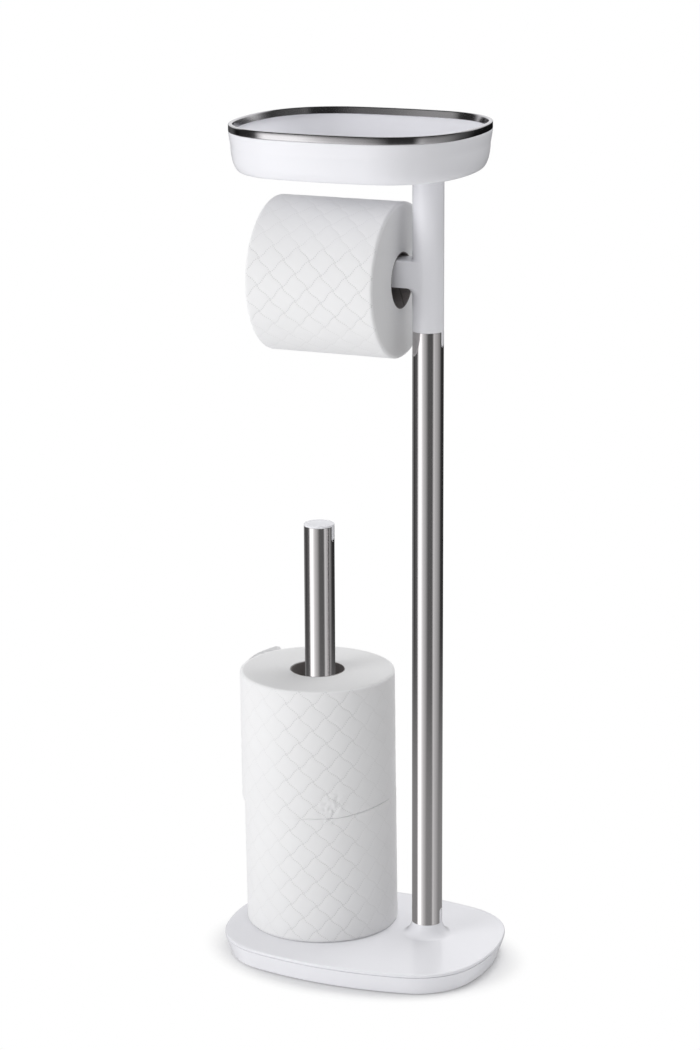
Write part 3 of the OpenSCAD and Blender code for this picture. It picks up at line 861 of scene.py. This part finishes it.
def build_floor():
    """Pale floor that shows the holder's soft shadow near it and is plain white further out."""
    half = 8.0
    corners = [(-half, -half, 0), (half, -half, 0), (half, half, 0), (-half, half, 0)]
    floor = new_object("floor", (corners, [(0, 1, 2, 3)]))
    material, tree, place = new_material("pale_floor")
    # Distance from the middle in units of the base's own oval: 1 at its edge
    oval = tree.stretch(place, (2 / BASE_SIZE.x, 2 / BASE_SIZE.y, 0.0))
    away = tree.vector("LENGTH", oval, out=1)
    white_share = tree.step(away, 0.98, 1.24, 0.1, 1.0)
    matt = tree.add("ShaderNodeBsdfDiffuse", None, {"Color": (0.86, 0.86, 0.865, 1)})
    glow = tree.add("ShaderNodeEmission", None, {"Color": (1, 1, 1, 1), "Strength": 1.0})
    surface = tree.add("ShaderNodeMixShader", None,
                       [background_rays(tree) * white_share, matt, glow])
    tree.add("ShaderNodeOutputMaterial", None, {"Surface": surface})
    floor.data.materials.append(material)
    floor.visible_glossy = False


def build_cards(azimuth):
    """A ring of cards round the set, seen only in reflections: bright strips and dark flags."""
    radius, low, high = 2.6, -1.8, 2.6
    points, faces = lathe([(radius, low), (radius, high)], 192)
    ring = new_object("reflection_cards", (points, faces[:-2] + faces[-1:]))
    material, tree, place = new_material("studio_cards")
    x, y, z = tree.xyz(place)
    # Turn round the holder: 0.5 at the camera, less to its left and more to its right
    bearing = (x.math("ARCTAN2", y * -1.0) - azimuth) / (2 * math.pi)
    share = (bearing + 0.5).math("FLOORED_MODULO", 1.0)
    # The tray's band mirrors the cards above this height: deeper darks, set a little to the left
    for_band = tree.step(z, 0.05, 0.2)
    spot = share - for_band * tree.step(share, 0.62, 0.74) * 0.05
    cards = tree.add("ShaderNodeValToRGB", {"stops": [
        (0.0, 0.03), (0.1, 0.15), (0.125, 0.12), (0.155, 0.015), (0.195, 0.06), (0.24, 0.065),
        (0.268, 0.13), (0.29, 0.72), (0.31, 1.0), (0.355, 1.0), (0.378, 0.62), (0.41, 0.42),
        (0.457, 0.28), (0.48, 0.17), (0.503, 0.075), (0.57, 0.07), (0.59, 0.06), (0.62, 0.5),
        (0.645, 0.37), (0.69, 0.3), (0.745, 0.19), (0.775, 0.11), (0.8, 0.02)]}, [spot])
    # Low down, the darks are lifted, so that the post's stripes grow pale towards the base
    lifted = tree.step(z, -0.86, -0.4, 0.18, 0.0)
    contrast = (cards ** (1.0 + for_band * 0.4)).math("MAXIMUM", lifted)
    # Higher up, the ring turns plain grey behind the holder and dark in front of it
    behind = tree.step(abs(share - 0.5), 0.3, 0.36)
    grey = tree.step(z, 0.5, 0.8) * behind
    dark = tree.step(z, 0.42, 0.7) * (1 - behind) * 0.75 + tree.step(z, 2.2, 2.5)
    lit = tree.mix_colour(grey, contrast, (0.53, 0.53, 0.54, 1))
    tone = tree.mix_colour(dark, lit, (0.02, 0.02, 0.02, 1))
    glow = tree.add("ShaderNodeEmission", None, {"Color": tone, "Strength": 1.8})
    tree.add("ShaderNodeOutputMaterial", None, {"Surface": glow})
    ring.data.materials.append(material)
    ring.visible_camera = ring.visible_diffuse = ring.visible_shadow = False
    ring.visible_transmission = False


def build_lamps():
    """A broad key from the left, a weak fill from the right and a soft light behind and above."""
    aim = Vector((0, 0, 0.35))
    # Name: place, size and watts
    lamps = {
        "key": ((-1.4, -1.85, 0.95), 1.3, 26.0),
        "fill": ((1.9, -1.2, 0.9), 1.4, 0.8),
        "top": ((0.35, 0.65, 2.3), 1.2, 21.0),
    }
    for name, (place, size, power) in lamps.items():
        lamp = bpy.data.lights.new(name, "AREA")
        lamp.shape = "SQUARE"
        lamp.size = size
        lamp.energy = power
        item = add_object(name, lamp)
        item.location = place
        item.rotation_euler = (aim - Vector(place)).to_track_quat("-Z", "Y").to_euler()
        item.visible_camera = item.visible_glossy = False


def build_camera(scene, studio):
    """The camera at the photograph's angle."""
    lens = bpy.data.cameras.new("camera")
    lens.sensor_width = 36.0
    lens.lens = studio.lens
    camera = add_object("camera", lens)
    turn, rise = studio.azimuth, studio.elevation
    back = Vector((math.sin(turn) * math.cos(rise), -math.cos(turn) * math.cos(rise),
                   math.sin(rise)))
    tilt = Quaternion((0, 0, 1), studio.roll)
    camera.location = Vector(studio.aim) + back * studio.distance
    camera.rotation_mode = "QUATERNION"
    camera.rotation_quaternion = (-back).to_track_quat("-Z", "Y") @ tilt
    scene.camera = camera


def made_material(name, maker, *values):
    """A material by name, made on its first use."""
    return bpy.data.materials.get(name) or maker(*values)


def white(context):
    return made_material("gloss_white_moulding", white_plastic, context.scene.holder_colours)


def zinc(context):
    return made_material("zinc_plate", plain_metal, "zinc_plate",
                         context.scene.holder_colours.zinc, 0.3)


def arc_shape(size, sizes):
    """The outline's numbers for a piece of this size."""
    return (size.x, size.y, sizes.side_radius, sizes.end_radius, sizes.corner_radius)


def rounded_edge(r, top, count):
    """Quarter round up to a top edge, as a profile of (inset, z)."""
    return [(r - r * math.cos(a), top - r + r * math.sin(a)) for a in quarter_turn(count)]


def spigot_profile(joints, base, length, lead):
    """Profile of a spigot, from the axis at its free end to its side at base."""
    r = TUBE_R - joints.tube_wall - joints.fit
    end = base + length
    return [(0, end), (r - lead, end), (r, end - math.copysign(MM, length)), (r, base)]


def new_key(joints, z, up, axis):
    """The key that fills a tube's slot."""
    depth = 2.5 * MM
    return new_object("key", tab(joints.key_width, joints.key_length, TUBE_R - depth, TUBE_R,
                                 z, up, axis))


def cut(item, *cutters):
    """Cuts lists of solids out of an object, one list after the other."""
    for solids in cutters:
        combine(item, "DIFFERENCE", new_object("cutters", *solids))


def four_corners(x, y):
    return [(i * x, j * y) for i in (-1, 1) for j in (-1, 1)]


def half_spread(node, r):
    """Distances from the middle to the outermost centres of a node's round parts."""
    low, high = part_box(node)
    return (high.x - low.x) / 2 - r, (high.y - low.y) / 2 - r


def screw_places():
    """Centres of the six base screws: one at each end, and four in from the ends."""
    from_end = 61 * MM
    half_x, half_y = half_spread("base_screws", BASE_SCREW_R)
    return [(-half_x, 0), (half_x, 0)] + four_corners(COVER_HIGH.x - from_end, half_y)


def tray_screw_places():
    """Centres of the three screws through the tray's floor, on a ring round the post's axis."""
    ring = SCREW_HIGH.y - POST_AXIS.y - TRAY_SCREW_R
    return [(POST_AXIS.x + ring * math.cos(a), POST_AXIS.y + ring * math.sin(a))
            for a in [math.radians(90 + 120 * i) for i in range(3)]]


def foot_places():
    """Centres of the five foot pads."""
    return [(0, 0)] + four_corners(*half_spread("base_feet", FOOT_R))


class HOLDER_OT_base(bpy.types.Operator):
    """Builds the base: the cover with its collars and keys, and the lower moulding"""

    bl_idname = "holder.base"
    bl_label = "Base"

    def execute(self, context):
        sizes = context.scene.holder_base
        shape = arc_shape(BASE_SIZE, sizes)
        build_cover(shape, sizes, context.scene.holder_joints, white(context))
        build_pan(shape, sizes, white(context))
        return {"FINISHED"}


def build_cover(shape, sizes, joints, material):
    """Top moulding of the base with a flared collar, a spigot and a key for each tube."""
    collar_top = POST_LOW.z
    top = collar_top - sizes.collar_height
    low = top - sizes.cover_edge
    # The rings on the flat underside and top lie this far in
    flat_low, flat_top, chamfer = 12 * MM, 4 * MM, 0.35 * MM
    profile = [(flat_low, low), (chamfer, low), (0, low + chamfer)]
    profile += rounded_edge(sizes.edge_round, top, 6) + [(flat_top, top)]
    cover = new_object("base_cover_moulding", moulding(shape, profile))
    # A softness of 1 would make the flare a quarter ellipse. It is sunk a hair into the cover
    softness, sunk = 1.45, 0.005 * MM
    flare = [(TUBE_R + sizes.collar_spread * (1 - math.sin(a)),
              top + sizes.collar_height * (1 - math.cos(a) ** softness) - sunk)
             for a in quarter_turn(24)]
    # Its last point is drawn in, as the tube's chamfered end is
    flare[-1] = (TUBE_R - 0.15 * MM, collar_top - 0.02 * MM)
    root = low + 0.5 * MM
    spigot = spigot_profile(joints, collar_top, joints.spigot, 0.8 * MM)
    collar = [(0, root), (flare[0][0], root), *flare, *reversed(spigot)]
    extras = []
    for axis in (POST_AXIS, SPINDLE_AXIS):
        extras += [new_object("collar", lathe(collar, 160, axis)),
                   new_key(joints, collar_top - 0.5 * MM, True, axis)]
    combine(cover, "UNION", *extras)
    finish(cover, "stand", material, "white_plastic", "base_cover", sharp=30.0)


def build_pan(shape, sizes, material):
    """Lower moulding: leaning wall, floor with wells for the nuts and holes for the screws."""
    low, high = PAN_LOW.z, PAN_HIGH.z
    lean, wall = sizes.lean, sizes.pan_wall
    slope = lean / (high - low)
    foot_r, flat, floor_h = 1.6 * MM, 1.5 * MM, 2.5 * MM
    profile = [(lean + flat, low)]
    profile += [(lean - slope * foot_r + foot_r * (1 - math.sin(a)),
                 low + foot_r * (1 - math.cos(a))) for a in quarter_turn(6)]
    profile += [(slope * 0.5 * MM, high - 0.5 * MM), (0.12 * MM, high - 0.15 * MM),
                (0.4 * MM, high), (wall, high), (wall + lean - 0.7 * MM, low + floor_h)]
    pan = new_object("base_pan_moulding", moulding(shape, profile))
    tubes, screws = (POST_AXIS, SPINDLE_AXIS), screw_places()
    well_r, well_wall, boss_wall, boss_h = 13 * MM, 2 * MM, 2.5 * MM, 5 * MM
    ballast_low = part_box("ballast_plate")[0].z
    root = low + 0.8 * MM
    bosses = [drum(well_r + well_wall, root, ballast_low, c) for c in tubes]
    bosses += [drum(BASE_SCREW_R + boss_wall, root, low + boss_h, c) for c in screws]
    combine(pan, "UNION", new_object("bosses", *bosses))
    # Wells for the nuts, sinks for the screws' heads and the pads, and holes for the shanks
    above, head_sink, pad_sink = 20 * MM, low + 2.2 * MM, low + 1.4 * MM
    sinks = [drum(well_r, -MM, above, c) for c in tubes]
    sinks += [drum(BASE_SCREW_R + 0.3 * MM, -MM, head_sink, c) for c in screws]
    sinks += [drum(FOOT_R + 0.2 * MM, -MM, pad_sink, c) for c in foot_places()]
    cut(pan, sinks, [drum(BASE_SHANK_R + 0.25 * MM, 0, above, c, 48) for c in screws])
    finish(pan, "stand", material, "white_plastic", "base_pan", sharp=30.0)


class HOLDER_OT_tubes(bpy.types.Operator):
    """Builds the two steel tubes with their keyed slots, and the spindle's cap"""

    bl_idname = "holder.tubes"
    bl_label = "Tubes"

    def execute(self, context):
        joints = context.scene.holder_joints
        colours = context.scene.holder_colours
        steel = brushed_steel("tube_steel", colours.steel, along=(900.0, 900.0, 5.0), rough=0.1)
        build_tube("post", POST_LOW.z, POST_HIGH.z, POST_AXIS, joints, steel)
        build_tube("spindle", SPINDLE_LOW.z, SPINDLE_HIGH.z, SPINDLE_AXIS, joints, steel)
        build_cap(joints, white(context))
        return {"FINISHED"}


def build_tube(place, low, high, axis, joints, material):
    """Steel tube with a round-ended slot at each end on its +X side."""
    chamfer = 0.15 * MM
    inner = TUBE_R - joints.tube_wall
    reach = joints.key_length + joints.slot_gap
    # Rings near the ends, so that the slots cut short faces only
    steps = (chamfer, reach * 0.5, reach + MM, reach + 4 * MM)
    levels = [low + step for step in steps] + [high - step for step in reversed(steps)]
    profile = [(TUBE_R - chamfer, low)] + [(TUBE_R, z) for z in levels] + [(TUBE_R - chamfer, high)]
    profile += [(inner, high)] + [(inner, z) for z in reversed(levels)] + [(inner, low)]
    tube = new_object(place + "_steel_tube", lathe(profile, 192, axis, loop=True))
    width = joints.key_width + 2 * joints.fit
    cut(tube, [tab(width, reach + MM, inner - MM, TUBE_R + MM, z, up, axis)
               for z, up in ((low - MM, True), (high + MM, False))])
    finish(tube, "stand", material, "tube_steel", place + "_tube", sharp=30.0,
           mirrored=place == "post")


def build_cap(joints, material):
    """Cap of the spindle: a low disc with a soft edge, a spigot and a key."""
    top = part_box("spindle_cap")[1].z
    low = SPINDLE_HIGH.z
    profile = spigot_profile(joints, low, -joints.spigot, 0.6 * MM)
    profile += [(TUBE_R - 0.1 * MM, low), (TUBE_R, low + 0.12 * MM)]
    profile += [(TUBE_R - inset, z) for inset, z in rounded_edge(0.8 * MM, top, 8)]
    profile += [(TUBE_R * 0.5, top), (0, top)]
    cap = new_object("spindle_cap_moulding", lathe(profile, 160, SPINDLE_AXIS))
    combine(cap, "UNION", new_key(joints, low + 0.5 * MM, False, SPINDLE_AXIS))
    finish(cap, "stand", material, "white_plastic", "spindle_cap")


class HOLDER_OT_head(bpy.types.Operator):
    """Builds the head: the column with its arm, and the arm's end cap"""

    bl_idname = "holder.head"
    bl_label = "Head and arm"

    def execute(self, context):
        sizes = context.scene.holder_head
        joints = context.scene.holder_joints
        build_head(sizes, joints, white(context))
        build_end_cap(sizes, white(context))
        return {"FINISHED"}


def web(fillet, z, up):
    """Fillet between the column and the arm: stadium rings that draw back to the column."""
    reach = TUBE_R - 0.04 * MM
    flip = 1 if up else -1
    turns = [math.pi * i / 32 - math.pi / 2 for i in range(33)]
    levels = [(fillet, -MM)]
    levels += [(fillet * (1 - math.sin(a)), fillet * (1 - math.cos(a))) for a in quarter_turn(14)]
    rings = []
    for shift, rise in levels:
        right = [Vector((reach * math.cos(t), reach * math.sin(t))) for t in turns]
        left = [Vector((-p.x - shift, -p.y)) for p in right]
        rings.append(raised(right + left, z + flip * rise, POST_AXIS))
    return skin(rings)


def arm_section(sizes, grow=0.0, inset=0.0):
    """Outline of the arm's section: first across, then up."""
    # A radius so large that the sides look flat
    flat = 0.4
    shape = (2 * TUBE_R, sizes.arm_height + grow, flat, flat, sizes.arm_corner + grow / 2)
    return outline(shape, inset, (3, 10, 3))


def across_x(points, x, z):
    """A ring of a section square to X."""
    return [Vector((x, POST_AXIS.y + p.x, z + p.y)) for p in points]


def build_head(sizes, joints, material):
    """Column, arm, fillets, spigot and key in one moulding, with pilot holes for screws."""
    low, top = POST_HIGH.z, HEAD_HIGH.z
    arm_z = low + sizes.arm_rise
    edge, steps = 0.15 * MM, 14
    profile = spigot_profile(joints, low, -joints.spigot, 0.6 * MM)
    profile += [(TUBE_R - edge, low), (TUBE_R, low + edge)]
    profile += [(TUBE_R, low + (top - low) * (i + 1) / steps) for i in range(steps)] + [(0, top)]
    head = new_object("head_and_arm", lathe(profile, 160, POST_AXIS))
    arm = new_object("arm", skin([across_x(arm_section(sizes), x, arm_z)
                                  for x in (POST_AXIS.x, HEAD_LOW.x)]))
    upper = new_object("web", web(sizes.fillet_top, arm_z + sizes.arm_height / 2, True))
    lower = new_object("web", web(sizes.fillet_low, arm_z - sizes.arm_height / 2, False))
    combine(head, "UNION", arm, upper, lower, new_key(joints, low + 0.5 * MM, False, POST_AXIS))
    cut(head, [drum(TRAY_SHANK_R, SCREW_LOW.z - MM, top + MM, c, 40) for c in tray_screw_places()])
    finish(head, "stand", material, "white_plastic", "head_arm", mirrored=True)


def build_end_cap(sizes, material):
    """End cap of the arm with the lip that keeps the roll on."""
    lip_z = POST_HIGH.z + sizes.arm_rise + sizes.lip / 2
    # Rings of (inset, x): a rounded face and a small chamfer at the back
    r, chamfer = 1.6 * MM, 0.3 * MM
    levels = [(r - r * math.sin(a), END_LOW.x + r - r * math.cos(a)) for a in quarter_turn(8)]
    levels += [(0, HEAD_LOW.x - chamfer), (chamfer, HEAD_LOW.x)]
    cap = new_object("arm_end_moulding", skin(
        [across_x(arm_section(sizes, sizes.lip, inset), x, lip_z) for inset, x in levels]))
    finish(cap, "stand", material, "white_plastic", "arm_end_cap", mirrored=True)


class HOLDER_OT_tray(bpy.types.Operator):
    """Builds the tray and the steel band folded over its rim"""

    bl_idname = "holder.tray"
    bl_label = "Tray"

    def execute(self, context):
        sizes = context.scene.holder_tray
        shape = arc_shape(RIM_HIGH - RIM_LOW, sizes)
        build_tray(shape, sizes, white(context))
        steel = brushed_steel("band_steel", context.scene.holder_colours.band,
                              along=(18.0, 18.0, 2200.0), rough=0.1)
        build_band(shape, sizes, steel)
        return {"FINISHED"}


def tray_edge(sizes, inset, low):
    """The tray's rounded lower edge, moved in by inset, from the floor up: (inset, z)."""
    wide, high = sizes.edge_width - inset, sizes.edge_height - inset
    return [(sizes.taper + inset + wide * (1 - math.sin(a)),
             low + sizes.edge_height - high * math.cos(a)) for a in quarter_turn(22)]


def build_tray(shape, sizes, material):
    """Bowl of the tray, with sunk holes for the three screws that hold it to the column."""
    low, top = TRAY_LOW.z, RIM_HIGH.z
    band_low = top - sizes.band
    tuck = sizes.band_wall + 0.1 * MM
    flat = 10 * MM
    middle = sizes.taper + sizes.edge_width + flat
    wall_low = low + sizes.edge_height
    profile = [(middle, low)] + tray_edge(sizes, 0, low)
    profile += [(sizes.taper * (1 - s) ** 1.3, wall_low + (band_low - wall_low) * s)
                for s in (0.2, 0.4, 0.6, 0.8, 0.96)]
    profile += [(0.15 * MM, band_low - 0.12 * MM), (tuck, band_low), (tuck, top - tuck),
                (sizes.wall, top - tuck), (sizes.wall, band_low)]
    profile += tray_edge(sizes, sizes.floor, low)[::-1] + [(middle, low + sizes.floor)]
    tray = new_object("tray_moulding", moulding(shape, profile, TRAY_AXIS))
    gap, through = 0.2 * MM, low + 5 * MM
    screws = tray_screw_places()
    cut(tray, [drum(TRAY_SHANK_R + gap, low - MM, through, c, 40) for c in screws],
        [drum(TRAY_SCREW_R + gap, SCREW_HIGH.z - 1.5 * MM, through, c, 48) for c in screws])
    finish(tray, "stand", material, "white_plastic", "tray_shell", sharp=32.0, mirrored=True)


def build_band(shape, sizes, material):
    """Steel band folded over the tray's rim: outer skin, rolled top and leaning inner skin."""
    top = RIM_HIGH.z
    low = top - sizes.band
    t = sizes.band_wall
    wide = sizes.wall + t + 0.1 * MM
    lean = sizes.band_lean
    crown_r = 0.9 * MM
    crown = rounded_edge(crown_r, top, 6)
    # The outer skin's lower edge is turned in a little
    outer = [(0.25 * MM, low), (0.06 * MM, low + 0.2 * MM), (0, low + 0.6 * MM)] + crown
    inner = [(wide - inset, z) for inset, z in reversed(crown)]
    inner += [(wide + lean, low + 0.5 * MM), (wide + lean - 0.2 * MM, low + 0.3 * MM),
              (wide - t, low + 0.4 * MM), (wide - t, top - t), (t, top - t), (t, low)]
    band = new_object("tray_steel_band", moulding(shape, outer + inner, TRAY_AXIS, loop=True))
    finish(band, "stand", material, "rim_steel", "tray_rim", sharp=40.0, mirrored=True)


class HOLDER_OT_rolls(bpy.types.Operator):
    """Builds the roll in use and the two spare rolls"""

    bl_idname = "holder.rolls"
    bl_label = "Rolls"

    def execute(self, context):
        sizes = context.scene.holder_rolls
        colours = context.scene.holder_colours
        group = embossing_group()
        turn = context.scene.holder_studio.azimuth
        left = Vector((-math.cos(turn), -math.sin(turn), 0))
        front = Vector((math.sin(turn), -math.cos(turn), 0))
        build_roll(Roll("arm_roll", True), sizes, colours, group, Vector((0, -1, 0)),
                   {"Seed": 1.7})
        joint = {"Left": left, "Seam Lift": sizes.seam_lift, "Joined": 1.0,
                 "Crumple": sizes.crumple}
        lower, upper = Roll("lower_roll"), Roll("upper_roll")
        touch = 0.13 * MM
        spot = front * (upper.radius - 0.8 * MM) - left * 10 * MM
        build_roll(lower, sizes, colours, group, front, {
            **joint, "Lean": (-0.85 * MM, -0.6 * MM, 0), "Seam Height": lower.height, "Seed": 4.2,
            "Touch": touch, "Crumple Spot": spot + Vector((0, 0, lower.height + 6 * MM))})
        tail = paper_tail(upper, start=math.radians(142), end=math.radians(180), rise=3 * MM)
        build_roll(upper, sizes, colours, group, front, {
            **joint, "Lean": (-1.8 * MM, 1.7 * MM, 0), "Seam Height": 0.0, "Seed": 9.1,
            "Touch": -touch, "Crumple Spot": spot + Vector((0, 0, 11 * MM))}, tail)
        return {"FINISHED"}


class HOLDER_OT_hardware(bpy.types.Operator):
    """Builds the screws and foot pads, and finishes the hidden metal parts"""

    bl_idname = "holder.hardware"
    bl_label = "Hardware"

    def execute(self, context):
        colours = context.scene.holder_colours
        group = scatter_group()
        low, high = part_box("base_screws")
        base_screw = screw_part(BASE_SCREW_R, 2 * MM, BASE_SHANK_R, high.z - low.z)
        build_copies("base_screw_set", base_screw, screw_places(), low.z, group, zinc(context),
                     "zinc_steel", "base_screws")
        tray_screw = screw_part(TRAY_SCREW_R, 1.5 * MM, TRAY_SHANK_R, SCREW_HIGH.z - SCREW_LOW.z)
        tray_screw.data.transform(Matrix.Rotation(math.pi, 4, "X"))
        build_copies("tray_screw_set", tray_screw, tray_screw_places(), SCREW_HIGH.z, group,
                     zinc(context), "zinc_steel", "tray_screws")
        rubber = matt_finish("foot_rubber", colours.rubber, rough=0.7)
        build_copies("foot_pad_set", foot_part(), foot_places(), 0.0, group, rubber, "foot_rubber",
                     "base_feet")
        for node in ("post_rod", "spindle_rod", "rod_washers", "rod_nuts"):
            dress(node, zinc(context))
        dress("rod_inserts", plain_metal("insert_brass", colours.brass, rough=0.25))
        dress("ballast_plate", matt_finish("weight_paint", colours.weight, rough=0.55))
        return {"FINISHED"}


def screw_part(head_r, head_h, shank_r, length):
    """Pan-head screw with a cross recess, its head down at z = 0."""
    r = 0.7 * MM
    profile = [(0, 0)]
    profile += [(head_r - r + r * math.sin(a), r - r * math.cos(a)) for a in quarter_turn(5)]
    profile += [(head_r, head_h), (shank_r, head_h), (shank_r, length - MM),
                (shank_r * 0.4, length), (0, length)]
    screw = new_object("screw", lathe(profile, 40))
    blades = []
    for x, y in ((1.8 * MM, 0.4 * MM), (0.4 * MM, 1.8 * MM)):
        ring = [Vector((x, -y)), Vector((x, y)), Vector((-x, y)), Vector((-x, -y))]
        blades.append(new_object("blade", skin([raised(ring, z) for z in (-MM, 1.2 * MM)])))
    return combine(screw, "DIFFERENCE", *blades)


def foot_part():
    """Round rubber pad with a chamfered face and a shallow ring groove."""
    top, groove = 2.4 * MM, 0.3 * MM
    profile = [(0, 0), (5.2 * MM, 0), (5.6 * MM, groove), (6.2 * MM, groove), (6.6 * MM, 0),
               (FOOT_R - 0.6 * MM, 0), (FOOT_R, 0.5 * MM), (FOOT_R, top), (0, top)]
    return new_object("pad", lathe(profile, 64))


def build_copies(name, part, spots, z, group, material, slot, node):
    """One part on every spot, as a single piece."""
    item = new_object(name, ([(x, y, z) for x, y in spots], []))
    apply_group(item, group, {"Part": part, "Material": material})
    bpy.data.objects.remove(part)
    finish(item, "stand", material, slot, node)


class HOLDER_PT_panel(bpy.types.Panel):
    """Lists the holder's pieces and sizes"""

    bl_label = "Roll Holder"
    bl_idname = "HOLDER_PT_panel"
    bl_space_type = "VIEW_3D"
    bl_region_type = "UI"
    bl_category = "Roll Holder"

    def draw(self, context):
        for operator in OPERATORS:
            self.layout.operator(operator.bl_idname, text=operator.bl_label)
        for key, group in GROUPS.items():
            box = self.layout.box()
            values = getattr(context.scene, key)
            for name in group.__annotations__:
                box.prop(values, name)


OPERATORS = (HOLDER_OT_stage, HOLDER_OT_base, HOLDER_OT_tubes, HOLDER_OT_head, HOLDER_OT_tray,
             HOLDER_OT_rolls, HOLDER_OT_hardware)
CLASSES = (*GROUPS.values(), *OPERATORS, HOLDER_PT_panel)


def register():
    for item in CLASSES:
        bpy.utils.register_class(item)
    for key, group in GROUPS.items():
        setattr(bpy.types.Scene, key, PointerProperty(type=group))


def unregister():
    for key in GROUPS:
        delattr(bpy.types.Scene, key)
    for item in reversed(CLASSES):
        bpy.utils.unregister_class(item)


def main():
    """Builds everything in order."""
    register()
    bpy.ops.holder.stage()
    bpy.ops.holder.base()
    bpy.ops.holder.tubes()
    bpy.ops.holder.head()
    bpy.ops.holder.tray()
    bpy.ops.holder.rolls()
    bpy.ops.holder.hardware()


if __name__ == "__main__":
    main()
